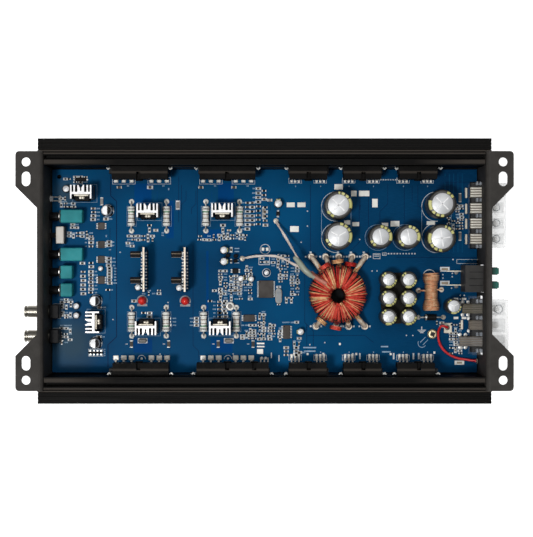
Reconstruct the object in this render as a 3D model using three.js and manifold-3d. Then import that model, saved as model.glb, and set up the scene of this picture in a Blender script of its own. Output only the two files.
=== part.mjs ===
// Two-channel car amplifier, lying on its heatsink with the bottom cover taken off.
//
// Millimetres. X runs along the body from the control end (-X) to the power end (+X), Y runs across
// it, and Z points up from the fin tips (z = 0) to the feet. The origin is under the body's centre.
// Parts on the circuit board are made at their own origin, standing on z = 0, and then placed.

import * as THREE from "three";
import { mergeVertices } from "three/addons/utils/BufferGeometryUtils.js";
import Module from "manifold-3d";

const wasm = await Module();
wasm.setup();

// ---------------------------------------------------------------- driving dimensions

const GAP = 0.3; // between pieces that touch

const BODY_LENGTH = 306;
const BODY_WIDTH = 179;
const FEET_SPAN = 335;
const FEET_TOP = 56;
const SHEET = 1.8; // thickness of the bent end plates

const FIN_DEPTH = 9;
const BASE_TOP = 13;
const WALL_INSIDE = 71.6; // from the centre line to the inner face of a side wall
const WING_TOP = 53;
const RECESS_HALF_WIDTH = 81; // the end plates sit in a recess this wide
const PLATE_HALF_WIDTH = RECESS_HALF_WIDTH - GAP;
const PLATE_BOTTOM = 0.6;
const WEB_INSIDE = 149; // from the centre to the inner face of an end plate

// The bolt hole and the slot in each foot, and how the foot's outline is cut back between them.
const FOOT = {
  x: 160.4,
  hole: { y: 73.4, radius: 3.05 },
  slot: { y: 62, radius: 3, halfRun: 1.9 },
  corner: 3,
  innerEnd: 57,
};

const BOARD_TOP = 20;
const BOARD_THICKNESS = 1.6;
const BOARD_HALF_LENGTH = 148.2;
const BOARD_HALF_WIDTH = 70.8;
const BOARD_BOTTOM = BOARD_TOP - BOARD_THICKNESS;
const BOARD_HOLE = { x: -143.4, y: 65.8, radius: 1.5 };
const SEAT = BOARD_TOP + GAP; // where parts on the board stand

const CLAMP_SCREW_Z = 38;
const CLAMP_SCREW_RADIUS = 1.7;
const CLAMP_SCREW_END = 76.6; // from the centre line to the screw's tip in the wall
const CLAMP_BORE_RADIUS = CLAMP_SCREW_RADIUS + 0.4;
const CLAMP_BAR = {
  bottom: 33,
  top: 45.4,
  topThickness: 1,
  depth: 3.6,
  notchWidth: 2.8,
  notchDepth: 4.8,
  notchBottom: 42,
  headRadius: 2.6,
  headRise: 0.9,
};
const PAD_FACE = WALL_INSIDE - GAP; // back of the thermal pad on each side wall
const PAD_THICKNESS = 0.3;
const PAD_X = [-107, 119.5];
const PAD_Z = [25, 43];
const LEAD_PAD_Y = { rear: 63.3, front: 60.8 }; // where the transistor leads meet the board

// Transistor clamps on each side wall: centre and length along X, and where the screws are.
const CLAMPS = {
  rear: [
    { x: -85, length: 38, screws: [-85.9] },
    { x: -25.3, length: 38, screws: [-25.4] },
    { x: 29.8, length: 25.6, screws: [30] },
    { x: 66.6, length: 25.6, screws: [67.2] },
    { x: 104.6, length: 25.6, screws: [105] },
  ],
  front: [
    { x: -84.4, length: 38, screws: [-85.9] },
    { x: -21.8, length: 49, screws: [-25.4, -7] },
    { x: 29.4, length: 25.6, screws: [30] },
    { x: 66.6, length: 25.6, screws: [67.2] },
    { x: 103, length: 25.6, screws: [105] },
  ],
};
const LARGE_TRANSISTORS_X = [-98.3, -73.6, -37.5, -14.8];
const SMALL_TRANSISTORS_X = [21.3, 38.8, 58.7, 75.7, 96.6, 113.5];
const REGULATOR_X = -0.2; // one more small transistor, on the front wall

const POTS = [
  { name: "crossover_pot", y: 37.8, length: 17 },
  { name: "gain_pot", y: 11.5, length: 17 },
  { name: "bass_boost_pot", y: -0.8, length: 10 },
  { name: "level_trim_pot", y: -13.2, length: 10 },
];
const POT_FRONT_X = -142;
const POT_SHAFT_Z = 26.5;
const POT_SHAFT_RADIUS = 3;
const POT_SPIGOT_RADIUS = 1.4;

const SWITCH = { y: 24.9, z: 24.9, front: -144.4, depth: 5.8, length: 12.7, height: 9 };
const SLIDER = { halfFoot: 2.5, halfStem: 1.75, travel: 2.4, height: 2.6, tip: -153.4 };

const RCA_Y = [-28, -45];
const RCA_Z = 28;
const RCA_BARREL_RADIUS = 4.15;
const RCA_TIP_X = -166;

const POWER_LED = { y: 50.1, z: 24.5, radius: 2 };

const FUSE_Y = [0, -9.6];
const FUSE_Z = 31.8;
const FUSE_WIDTH = 19.1;
const FUSE_THICKNESS = 5.2;
const FUSE_HOLDER = { x: [136.8, 152.4], y: [-14.4, 3.9], z: [SEAT, 43.2] };

// Screw terminal blocks at the power end: a row of sockets for bare wire.
const SPEAKER_BLOCK = {
  x: [142, 166],
  y: [16, 60.6],
  z: [SEAT, 35.6],
  socketsY: [22.1, 32.9, 43.7, 54.5],
  socket: 7.2,
  socketDepth: 14,
  screwRadius: 2,
};
const POWER_BLOCK = {
  x: [142, 167],
  y: [-57.6, -17.4],
  z: [SEAT, 39],
  socketsY: [-26.1, -37.5, -48.9],
  socket: 9,
  socketDepth: 15,
  screwRadius: 2.4,
};

const LARGE_CAPACITORS = [
  { name: "reservoir_capacitor_1", x: 50.3, y: 44.9 },
  { name: "reservoir_capacitor_2", x: 50.3, y: 23.9 },
  { name: "reservoir_capacitor_3", x: 121, y: 45.9 },
  { name: "reservoir_capacitor_4", x: 120.7, y: 22.3 },
];
const MEDIUM_CAPACITORS = [
  { name: "rail_capacitor_1", x: 79.1, y: 23.4 },
  { name: "rail_capacitor_2", x: 98.2, y: 23.4 },
];
const BANK = { columnsX: [85.3, 99], rowsY: [-6, -18.9, -31.5] };
const SUPPLY_CAPACITOR = { x: 129.8, y: -24.2 };
const LARGE_CAN = { radius: 9.7, height: 25, sides: 22 };
const MEDIUM_CAN = { radius: 8.2, height: 24, sides: 20 };
const BANK_CAN = { radius: 5.9, height: 16, sides: 12 };
const SUPPLY_CAN = { radius: 5.4, height: 18, sides: 12 };

const TOROID = { x: 50.4, y: -15.9, radius: 20.2, hole: 4.8, height: 20 };
const TOROID_LEADS_REAR = [32.4, 42.4, 51.6, 60.9, 70.1];
const TOROID_LEADS_FRONT = [35.8, 49.6, 58.6, 69.8];
const CHOKE = { x: 115, y: -14, length: 26.8, radius: 6.2, waist: 4.6 };

const DRIVER_HEATSINKS = [
  { name: "driver_heatsink_1", x: -80.3, y: 41.6, turn: 0 },
  { name: "driver_heatsink_2", x: -29.1, y: 41.8, turn: 0 },
  { name: "driver_heatsink_3", x: -81.4, y: -39.2, turn: 180 },
  { name: "driver_heatsink_4", x: -30.6, y: -39.2, turn: 180 },
  { name: "regulator_heatsink_1", x: -125.7, y: 54.3, turn: 0 },
  { name: "regulator_heatsink_2", x: -118, y: -35, turn: 90 },
];
const HEATSINK_WIDTH = 14.6;
const HEATSINK_HEIGHT = 20;

const DRIVER_BOARDS = [
  { name: "driver_board_1", x: -82.7 },
  { name: "driver_board_2", x: -54.7 },
];
const DRIVER_BOARD = { y: [-14.3, 16.4], height: 24, partsY: [11.6, -6.1] };

// Leads, each as a list of points that its centre line runs through.
const LINK_LEAD = {
  radius: 1.1,
  points: [
    [127.4, -39.4, 23.6],
    [126.2, -38.9, 26.2],
    [122.6, -38.2, 26.6],
    [120.6, -42.4, 24.6],
    [121.4, -49.2, 23.2],
    [124.2, -54.4, 22.6],
    [128.4, -58.1, 22.4],
    [134.6, -60.8, 22.4],
    [141, -61.8, 23],
    [147.4, -62.6, 24],
  ],
};
const SENSOR_LEADS = {
  radius: 0.95,
  long: [
    [-15.6, 8.6, 21.6],
    [-12.5, 9.2, 24],
    [-5.3, 10.3, 27],
    [5.8, 10.4, 31],
    [12.7, 8.5, 35],
    [20, 4.6, 40],
    [26.4, 1.8, 43.4],
  ],
  short: [
    [7.9, 34.9, 21.6],
    [9.6, 31.6, 25],
    [14, 24.1, 30.6],
    [20, 13.5, 38.4],
    [22.9, 7.9, 42],
    [27, 2.6, 43.6],
  ],
  glue: { from: [24.6, 3.4, 43.6], to: [37.6, -4.4, 43.8], radius: 2.6 },
};

// ---------------------------------------------------------------- shapes

// A closed geometry as a manifold-3d solid.
function solidFrom(geometry) {
  geometry.deleteAttribute("normal");
  geometry.deleteAttribute("uv");
  const merged = mergeVertices(geometry, 1e-4);
  const vertProperties = merged.attributes.position.array;
  const triVerts = new Uint32Array(merged.index.array);
  return new wasm.Manifold(new wasm.Mesh({ numProp: 3, vertProperties, triVerts }));
}

// A manifold-3d solid as a geometry.
function geometryFrom(solid) {
  const { vertProperties, triVerts } = solid.getMesh();
  const geometry = new THREE.BufferGeometry();
  geometry.setAttribute("position", new THREE.BufferAttribute(vertProperties, 3));
  geometry.setIndex(new THREE.BufferAttribute(triVerts, 1));
  geometry.computeVertexNormals();
  return geometry;
}

function join(...solids) {
  return solids.reduce((whole, solid) => whole.add(solid));
}

function cut(solid, ...tools) {
  return tools.reduce((left, tool) => left.subtract(tool), solid);
}

// A box given by its range along each axis.
function block([x0, x1], [y0, y1], [z0, z1]) {
  const geometry = new THREE.BoxGeometry(x1 - x0, y1 - y0, z1 - z0);
  geometry.translate((x0 + x1) / 2, (y0 + y1) / 2, (z0 + z1) / 2);
  return solidFrom(geometry);
}

// A box given by its middle along X and Y, its size there and its range along Z.
function post(x, y, sizeX, sizeY, rangeZ) {
  return block([x - sizeX / 2, x + sizeX / 2], [y - sizeY / 2, y + sizeY / 2], rangeZ);
}

// A round rod between two points.
function rod(from, to, radius, sides = 16) {
  const start = new THREE.Vector3(...from);
  const run = new THREE.Vector3(...to).sub(start);
  const geometry = new THREE.CylinderGeometry(radius, radius, run.length(), sides);
  const turn = new THREE.Quaternion();
  turn.setFromUnitVectors(new THREE.Vector3(0, 1, 0), run.clone().normalize());
  geometry.applyQuaternion(turn);
  geometry.translate(...start.addScaledVector(run, 0.5).toArray());
  return solidFrom(geometry);
}

// A body turned about the Z axis. The profile lists [radius, height] points.
function turned(profile, sides) {
  const points = profile.map(([radius, height]) => new THREE.Vector2(radius, height));
  const geometry = new THREE.LatheGeometry(points, sides);
  geometry.rotateX(Math.PI / 2);
  return solidFrom(geometry);
}

// An outline pushed along an axis. It lists [y, z] points for axis x, [x, z] for y, [x, y] for z.
function prism(outline, axis, from, to) {
  const shape = new THREE.Shape(outline.map(([a, b]) => new THREE.Vector2(a, b)));
  return pushed(shape, axis, from, to);
}

// A shape pushed along an axis, with the same plane as a prism's outline.
function pushed(shape, axis, from, to) {
  const settings = { depth: to - from, bevelEnabled: false, curveSegments: 8 };
  const geometry = new THREE.ExtrudeGeometry(shape, settings);
  if (axis === "y") {
    geometry.translate(0, 0, -to);
    geometry.rotateX(Math.PI / 2);
    return solidFrom(geometry);
  }
  geometry.translate(0, 0, from);
  if (axis === "x") {
    const [x, y, z] = [0, 1, 2].map((i) => new THREE.Vector3().setComponent(i, 1));
    geometry.applyMatrix4(new THREE.Matrix4().makeBasis(y, z, x));
  }
  return solidFrom(geometry);
}

// A round lead along a smooth curve through the given points.
function lead(points, radius) {
  const curve = new THREE.CatmullRomCurve3(points.map((p) => new THREE.Vector3(...p)));
  const steps = Math.ceil(curve.getLength() / (2.4 * radius));
  const section = new THREE.Shape();
  section.absarc(0, 0, radius, 0, 2 * Math.PI);
  const settings = { steps, extrudePath: curve, curveSegments: 4 };
  return solidFrom(new THREE.ExtrudeGeometry(section, settings));
}

// Two values as a range, whichever is larger.
const span = (a, b) => [Math.min(a, b), Math.max(a, b)];

// The range that a size covers on both sides of a middle.
const around = (middle, half) => [middle - half, middle + half];

// Points of an arc in a section, from one angle to another in degrees.
function arcPoints(centreX, centreZ, radius, fromDeg, toDeg, steps = 4) {
  return Array.from({ length: steps + 1 }, (_, i) => {
    const angle = THREE.MathUtils.degToRad(fromDeg + ((toDeg - fromDeg) * i) / steps);
    return [centreX + radius * Math.cos(angle), centreZ + radius * Math.sin(angle)];
  });
}

// ---------------------------------------------------------------- finishes

const FINISHES = {
  anodised_black: { color: 0x1d1c1c, roughness: 0.42, metalness: 0.7 },
  painted_black: { color: 0x2b2927, roughness: 0.6, metalness: 0.2 },
  clamp_black: { color: 0x161514, roughness: 0.5, metalness: 0.4 },
  epoxy_black: { color: 0x141414, roughness: 0.55, metalness: 0 },
  board_blue: { color: 0x0b4f8c, roughness: 0.4, metalness: 0 },
  sleeve_black: { color: 0x201f1c, roughness: 0.4, metalness: 0 },
  winding_red: { color: 0xb02418, roughness: 0.35, metalness: 0.3 },
  winding_copper: { color: 0xb8642f, roughness: 0.35, metalness: 0.6 },
  nickel: { color: 0xc9c6bd, roughness: 0.25, metalness: 1 },
  pot_teal: { color: 0x14918f, roughness: 0.45, metalness: 0 },
  shaft_black: { color: 0x18181a, roughness: 0.5, metalness: 0 },
  switch_white: { color: 0xd9d2c6, roughness: 0.5, metalness: 0 },
  holder_grey: { color: 0x3f3d3b, roughness: 0.6, metalness: 0 },
  fuse_green: { color: 0x1f7a63, roughness: 0.25, metalness: 0 },
  clear_plastic: { color: 0xe6e6e3, roughness: 0.1, metalness: 0 },
  screw_steel: { color: 0xb5b2ab, roughness: 0.35, metalness: 1 },
  bare_aluminium: { color: 0xd8d8da, roughness: 0.35, metalness: 0.9 },
  lead_red: { color: 0xc0161d, roughness: 0.4, metalness: 0 },
  lead_white: { color: 0xe4d8c8, roughness: 0.6, metalness: 0 },
};

// A named piece with a material of its own.
function piece(name, solid, finish) {
  const mesh = new THREE.Mesh(geometryFrom(solid), new THREE.MeshStandardMaterial(FINISHES[finish]));
  mesh.name = name;
  return mesh;
}

// ---------------------------------------------------------------- housing and end plates

// The wall's upper edge, [y, z] from the wing inwards: a groove, a rib, the cover lip and a ledge.
const WALL_TOP_SECTION = [
  [82.3, WING_TOP],
  [82.3, 51.5],
  [81.5, 51.5],
  [81.5, 54],
  [80.5, 54],
  [80.5, 51],
  [79.7, 51],
  [79.7, 55],
  [78, 55],
  [78, 47],
  [75.3, 47],
  [75.3, 53.5],
  [WALL_INSIDE, 53.5],
];
const BOARD_SHELF = 66; // the board's long edges rest on the base from here outwards

// Half of the extrusion's section, [y, z], from the middle of the underside out and over the wall.
function halfSection() {
  const outside = BODY_WIDTH / 2;
  const landHalf = 15;
  const finHalf = 1.2;
  const firstFin = 21.5;
  const finPitch = 8;
  const sideFinDepth = 5;
  const sideGapBottoms = [14, 24, 34, 44];
  const sideGapHeight = 5;
  const wingGrooves = [87.6, 85];
  const points = [
    [landHalf, 0],
    [landHalf, FIN_DEPTH],
  ];
  for (let y = firstFin; y < outside - finHalf; y += finPitch) {
    points.push([y - finHalf, FIN_DEPTH], [y - finHalf, 0], [y + finHalf, 0], [y + finHalf, FIN_DEPTH]);
  }
  points.push([outside, FIN_DEPTH]);
  for (const z of sideGapBottoms) {
    const root = outside - sideFinDepth;
    points.push([outside, z], [root, z], [root, z + sideGapHeight], [outside, z + sideGapHeight]);
  }
  points.push([outside, WING_TOP]);
  for (const y of wingGrooves) {
    points.push([y, WING_TOP], [y, WING_TOP - 1], [y - 1, WING_TOP - 1], [y - 1, WING_TOP]);
  }
  points.push(...WALL_TOP_SECTION);
  points.push([WALL_INSIDE, BOARD_BOTTOM - GAP], [BOARD_SHELF, BOARD_BOTTOM - GAP], [BOARD_SHELF, BASE_TOP]);
  return points;
}

function heatsinkHousing() {
  const half = halfSection();
  const mirrored = half.toReversed().map(([y, z]) => [-y, z]);
  const body = prism([...half, ...mirrored], "x", -BODY_LENGTH / 2, BODY_LENGTH / 2);
  const width = [-RECESS_HALF_WIDTH, RECESS_HALF_WIDTH];
  const core = WEB_INSIDE - GAP;
  const recesses = [-1, 1].map((end) => block(span(end * core, end * FEET_SPAN), width, [-1, FEET_TOP]));
  return cut(body, ...recesses, ...clampBores());
}

// Tools that cut a bore for every clamp screw, out to a little past its tip.
function clampBores() {
  const from = WALL_INSIDE - 10;
  const to = CLAMP_SCREW_END + 0.4;
  return Object.entries(CLAMPS).flatMap(([wall, clamps]) => {
    const side = wall === "rear" ? 1 : -1;
    const screws = clamps.flatMap((clamp) => clamp.screws);
    return screws.map((x) => {
      return rod([x, side * from, CLAMP_SCREW_Z], [x, side * to, CLAMP_SCREW_Z], CLAMP_BORE_RADIUS, 8);
    });
  });
}

// The foot outline of an end plate, seen from above, with a bolt hole and a slot in each foot.
function feetShape(end) {
  const outer = FEET_SPAN / 2;
  const edge = BODY_LENGTH / 2;
  const inner = edge - 1;
  const half = PLATE_HALF_WIDTH;
  const { corner, innerEnd, hole, slot } = FOOT;
  const shape = new THREE.Shape();
  shape.moveTo(end * inner, -half);
  shape.lineTo(end * (outer - corner), -half);
  shape.quadraticCurveTo(end * outer, -half, end * outer, -half + corner);
  shape.lineTo(end * outer, -innerEnd);
  shape.lineTo(end * edge, -innerEnd + outer - edge);
  shape.lineTo(end * edge, innerEnd - outer + edge);
  shape.lineTo(end * outer, innerEnd);
  shape.lineTo(end * outer, half - corner);
  shape.quadraticCurveTo(end * outer, half, end * (outer - corner), half);
  shape.lineTo(end * inner, half);
  for (const side of [-1, 1]) {
    const x = end * FOOT.x;
    const round = new THREE.Path().absarc(x, side * hole.y, hole.radius, 0, 2 * Math.PI);
    const long = new THREE.Path().absarc(x, side * slot.y + slot.halfRun, slot.radius, 0, Math.PI);
    long.absarc(x, side * slot.y - slot.halfRun, slot.radius, Math.PI, 2 * Math.PI);
    shape.holes.push(round, long);
  }
  return shape;
}

// An end plate without its openings: an upright web that bends outwards into the feet.
function endPlateBlank(end) {
  const bend = 3;
  const centreX = WEB_INSIDE + bend;
  const centreZ = FEET_TOP - bend;
  const edge = BODY_LENGTH / 2;
  const section = [
    [WEB_INSIDE, PLATE_BOTTOM],
    ...arcPoints(centreX, centreZ, bend, 180, 90),
    [edge, FEET_TOP],
    [edge, FEET_TOP - SHEET],
    ...arcPoints(centreX, centreZ, bend - SHEET, 90, 180),
    [WEB_INSIDE + SHEET, PLATE_BOTTOM],
  ];
  const web = prism(section.map(([x, z]) => [end * x, z]), "y", -PLATE_HALF_WIDTH, PLATE_HALF_WIDTH);
  return join(web, pushed(feetShape(end), "z", FEET_TOP - SHEET, FEET_TOP));
}

// A range along X that runs through an end plate's web.
const throughWeb = (end) => span(end * (WEB_INSIDE - 5), end * (WEB_INSIDE + 5));

// A round tool that cuts a hole through an end plate's web.
function webHole(end, y, z, radius, sides = 16) {
  const [from, to] = throughWeb(end);
  return rod([from, y, z], [to, y, z], radius, sides);
}

function controlEndPlate() {
  const slotHalf = SLIDER.halfStem + SLIDER.travel + 0.4;
  const slotHeight = SLIDER.height / 2 + 0.4;
  return cut(
    endPlateBlank(-1),
    ...POTS.map(({ y }) => webHole(-1, y, POT_SHAFT_Z, POT_SHAFT_RADIUS + 0.5)),
    ...RCA_Y.map((y) => webHole(-1, y, RCA_Z, RCA_BARREL_RADIUS + 0.5)),
    webHole(-1, POWER_LED.y, POWER_LED.z, POWER_LED.radius + 0.3, 12),
    block(
      throughWeb(-1),
      [SWITCH.y - slotHalf, SWITCH.y + slotHalf],
      [SWITCH.z - slotHeight, SWITCH.z + slotHeight],
    ),
  );
}

function powerEndPlate() {
  const windows = [SPEAKER_BLOCK, POWER_BLOCK, FUSE_HOLDER].map(({ y, z }) => {
    return block(throughWeb(1), [y[0] - 0.4, y[1] + 0.4], [z[0] - 0.4, z[1] + 0.4]);
  });
  return cut(endPlateBlank(1), ...windows);
}

// ---------------------------------------------------------------- board, transistors and clamps

function circuitBoard() {
  const plate = block(
    around(0, BOARD_HALF_LENGTH),
    around(0, BOARD_HALF_WIDTH),
    [BOARD_BOTTOM, BOARD_TOP],
  );
  const { x, y, radius } = BOARD_HOLE;
  return cut(plate, rod([x, y, BOARD_BOTTOM - 1], [x, y, BOARD_TOP + 1], radius, 12));
}

// A transistor that stands against a side wall, with its tab at the back and three leads.
function transistor(side, x, { width, bottom, top, thickness, pitch, leadWidth }) {
  const back = PAD_FACE - 0.2;
  const front = PAD_FACE - PAD_THICKNESS - thickness;
  const body = block(around(x, width / 2), span(side * front, side * back), [bottom, top]);
  const tabY = span(side * (back - 1.8), side * back);
  const tab = block(around(x, width / 2 - 0.6), tabY, [top - 1, top + 1.6]);
  const leadTop = back - 3.1;
  const leadFoot = side > 0 ? LEAD_PAD_Y.rear : LEAD_PAD_Y.front;
  const half = 0.4;
  const outline = [
    [side * (leadTop + half), bottom + 0.5],
    [side * (leadTop - half), bottom + 0.5],
    [side * (leadFoot - half), SEAT],
    [side * (leadFoot + half), SEAT],
  ];
  const leads = [-pitch, 0, pitch].map((offset) => {
    return prism(outline, "x", x + offset - leadWidth / 2, x + offset + leadWidth / 2);
  });
  return join(body, tab, ...leads);
}

const LARGE_CASE = { width: 15.6, bottom: 24, top: 42, thickness: 4.4, pitch: 5.45, leadWidth: 1.3 };
const SMALL_CASE = { width: 10, bottom: 28, top: 40, thickness: 4.2, pitch: 2.54, leadWidth: 1 };
const TINY_CASE = { width: 7.6, bottom: 28, top: 40, thickness: 4.2, pitch: 2.54, leadWidth: 1 };

// All the transistors on one side wall, held together by the thermal pad behind them.
function transistorRow(side) {
  const pad = block(PAD_X, span(side * PAD_FACE, side * (PAD_FACE - PAD_THICKNESS)), PAD_Z);
  const row = [
    ...LARGE_TRANSISTORS_X.map((x) => transistor(side, x, LARGE_CASE)),
    ...SMALL_TRANSISTORS_X.map((x) => transistor(side, x, SMALL_CASE)),
  ];
  if (side < 0) row.push(transistor(side, REGULATOR_X, TINY_CASE));
  return cut(join(pad, ...row), ...clampBores());
}

// A clamp bar with its screws, made for the rear wall at y > 0: an angle whose upright leg
// presses on the transistors and whose top leg covers them, notched above each screw.
function clampBar({ x, length, screws }) {
  const face = PAD_FACE - PAD_THICKNESS - LARGE_CASE.thickness - GAP;
  const inside = face - CLAMP_BAR.depth;
  const underTop = CLAMP_BAR.top - CLAMP_BAR.topThickness;
  const section = [
    [face, CLAMP_BAR.bottom],
    [face, underTop],
    [PAD_FACE, underTop],
    [PAD_FACE, CLAMP_BAR.top],
    [inside, CLAMP_BAR.top],
    [inside, CLAMP_BAR.bottom],
  ];
  const bar = prism(section, "x", x - length / 2, x + length / 2);
  const notches = screws.map((screwX) => {
    const reach = [inside - 1, inside + CLAMP_BAR.notchDepth];
    const height = [CLAMP_BAR.notchBottom, CLAMP_BAR.top + 1];
    return block(around(screwX, CLAMP_BAR.notchWidth / 2), reach, height);
  });
  const z = CLAMP_SCREW_Z;
  const bolts = screws.map((screwX) => {
    const shank = rod([screwX, inside, z], [screwX, CLAMP_SCREW_END, z], CLAMP_SCREW_RADIUS, 8);
    const headTop = inside - CLAMP_BAR.headRise;
    const head = rod([screwX, headTop, z], [screwX, inside + 0.5, z], CLAMP_BAR.headRadius, 8);
    return join(shank, head);
  });
  return join(cut(bar, ...notches), ...bolts);
}

function clampMeshes() {
  return Object.entries(CLAMPS).flatMap(([wall, clamps]) => {
    return clamps.map((clamp, index) => {
      const placed = wall === "rear" ? clamp : turnedRound(clamp);
      const mesh = piece(`${wall}_clamp_bar_${index + 1}`, clampBar(placed), "clamp_black");
      if (wall === "front") mesh.rotation.z = Math.PI;
      return mesh;
    });
  });
}

// A front clamp described from the far side, because half a turn about Z puts it in place.
function turnedRound({ x, length, screws }) {
  return { x: -x, length, screws: screws.map((screwX) => -screwX) };
}

// ---------------------------------------------------------------- parts on the board

// An upright electrolytic can with a rolled rim and a sunken top.
function can({ radius, height, sides }) {
  return turned(
    [
      [0, 0],
      [radius, 0],
      [radius, height - 0.7],
      [radius - 0.7, height],
      [radius * 0.8, height],
      [radius * 0.8, height - 0.4],
      [0, height - 0.4],
    ],
    sides,
  );
}

// Six cans held together by the adhesive between them.
function capacitorBank() {
  const { columnsX, rowsY } = BANK;
  const cans = columnsX.flatMap((x) => rowsY.map((y) => can(BANK_CAN).translate([x, y, 0])));
  const glue = block([columnsX[0] - 3, columnsX[1] + 3], [rowsY[2] - 2, rowsY[0] + 2], [0, 5]);
  return join(...cans, glue);
}

// A ring of winding with its tinned ends bent down to the board on both sides.
function toroidTransformer() {
  const { x, y, radius, hole, height } = TOROID;
  const soft = 5;
  const tightSoft = 3;
  const profile = [
    [hole, tightSoft],
    ...arcPoints(hole + tightSoft, tightSoft, tightSoft, 180, 270, 2).slice(1),
    ...arcPoints(radius - soft, soft, soft, 270, 360, 3),
    ...arcPoints(radius - soft, height - soft, soft, 0, 90, 3),
    ...arcPoints(hole + tightSoft, height - tightSoft, tightSoft, 90, 180, 2),
    [hole, tightSoft],
  ];
  const ring = turned(profile, 24);
  const rear = TOROID_LEADS_REAR.map((leadX) => toroidLead(leadX - x, 10 - y));
  const front = TOROID_LEADS_FRONT.map((leadX) => toroidLead(leadX - x, -38.6 - y));
  return join(ring, ...rear, ...front);
}

// One tinned winding end, from the ring out to its pad.
function toroidLead(x, y) {
  const away = new THREE.Vector2(x, y).setLength(TOROID.radius - 3);
  const sides = 6;
  const rise = 9;
  const arm = rod([away.x, away.y, rise], [x, y, 5], 1.4, sides);
  return join(arm, rod([x, y, 6], [x, y, 0], 1.6, sides));
}

// A copper winding on a rod core with flared ends, lying along Y.
function rodChoke() {
  const { length, radius, waist } = CHOKE;
  const half = length / 2;
  const profile = [
    [0, -half],
    [radius - 1, -half],
    [radius, -half + 1.2],
    [radius, -half + 4],
    [waist, -half + 7.5],
    [waist, half - 7.5],
    [radius, half - 4],
    [radius, half - 1.2],
    [radius - 1, half],
    [0, half],
  ];
  return turned(profile, 14).rotate([90, 0, 0]).translate([0, 0, radius]);
}

// A small comb heatsink with the transistor that is screwed to its front. Fins point to +Y.
function driverHeatsink() {
  const half = HEATSINK_WIDTH / 2;
  const fins = 6;
  const finHalf = 0.5;
  const comb = [
    [-half, -4.6],
    [-half + 1.1, -4.6],
    [-half + 1.1, -1.2],
    [half - 1.1, -1.2],
    [half - 1.1, -4.6],
    [half, -4.6],
  ];
  for (let i = fins - 1; i >= 0; i -= 1) {
    const x = -half + finHalf + (i * (HEATSINK_WIDTH - 2 * finHalf)) / (fins - 1);
    comb.push([x + finHalf, 0.4], [x + finHalf, 5], [x - finHalf, 5], [x - finHalf, 0.4]);
  }
  const corners = comb.filter(([x, y]) => Math.abs(x) < half || y !== 0.4);
  const sink = prism(corners, "z", 0, HEATSINK_HEIGHT);
  const body = post(0, -3.2, 10, 4.2, [4, 14]);
  const tab = post(0, -1.7, 9.6, 1.4, [13, 19]);
  const screw = rod([0, -4, 16.4], [0, -1, 16.4], 1.8, 8);
  const legs = [-2.54, 0, 2.54].map((x) => post(x, -3.2, 0.9, 0.6, [0, 4.2]));
  return join(sink, body, tab, screw, ...legs);
}

// An upright driver board on a pin header, with two small transistors on its outer face.
function driverBoard() {
  const { y, height, partsY } = DRIVER_BOARD;
  const board = block([-0.8, 0.8], y, [2.4, height]);
  const header = block([-1.3, 1.3], [y[0] + 2, y[1] - 2], [0, 2.6]);
  const parts = partsY.map((partY) => block([-8.6, -0.6], [partY - 1.4, partY + 1.4], [10, 21]));
  return join(board, header, ...parts);
}

// ---------------------------------------------------------------- control end

// A pot with its bushing hole open to -X. Its front face is at x = 0 and its base on z = 0.
function potBody({ length }) {
  const shaftZ = POT_SHAFT_Z - SEAT;
  const body = block([0, length], [-4.5, 4.5], [1, 11.2]);
  const plate = block([0, 1], [-4.5, 4.5], [0, 11.6]);
  const pins = [-2.5, 0, 2.5].map((y) => block([length - 2, length - 1], [y - 0.5, y + 0.5], [0, 1.2]));
  const bushing = rod([-0.6, 0, shaftZ], [0.5, 0, shaftZ], 2.6, 12);
  const bore = rod([-2, 0, shaftZ], [3.4, 0, shaftZ], POT_SPIGOT_RADIUS + GAP, 12);
  return cut(join(body, plate, ...pins, bushing), bore);
}

// A pot's shaft, on the X axis: a black stem with a screwdriver slot, and a thin metal spigot.
function potShaft() {
  const stem = rod([-10.2, 0, 0], [-1, 0, 0], POT_SHAFT_RADIUS, 18);
  const spigot = rod([-1.2, 0, 0], [3, 0, 0], POT_SPIGOT_RADIUS, 12);
  const slot = block([-11, -9], [-4, 4], [-0.6, 0.6]);
  return join(cut(stem, slot), spigot);
}

function switchBody() {
  const { y, z, front, depth, length, height } = SWITCH;
  const shell = block([front, front + depth], around(y, length / 2), [SEAT, SEAT + height]);
  const track = SLIDER.halfFoot + SLIDER.travel + GAP;
  const reach = SLIDER.height / 2 + 0.7;
  return cut(shell, block([front - 1, front + 3], around(y, track), around(z, reach)));
}

function switchSlider() {
  const { y, z, front } = SWITCH;
  const { halfFoot, halfStem, height, tip } = SLIDER;
  const foot = block([front + 0.3, front + 2.7], around(y, halfFoot), around(z, height / 2 + 0.4));
  const stem = block([tip, front + 1], around(y, halfStem), around(z, height / 2));
  return join(foot, stem);
}

// A phono jack: a black base on the board and a nickel barrel that sticks out to -X.
function rcaJack(y) {
  const base = block([-148.6, -141.8], around(y, 4.8), [SEAT, SEAT + 13.4]);
  const tip = WEB_INSIDE - Math.abs(RCA_TIP_X);
  const profile = [
    [0, 0.6],
    [RCA_BARREL_RADIUS, 0.6],
    [RCA_BARREL_RADIUS, tip + 0.8],
    [RCA_BARREL_RADIUS - 0.5, tip],
    [RCA_BARREL_RADIUS - 0.9, tip],
    [RCA_BARREL_RADIUS - 0.9, tip + 1.4],
    [1.7, tip + 1.4],
    [1.7, -2],
    [0, -2],
  ];
  const barrel = turned(profile.toReversed(), 18).rotate([0, 90, 0]);
  return join(base, barrel.translate([-WEB_INSIDE, y, RCA_Z]));
}

// ---------------------------------------------------------------- power end

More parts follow.
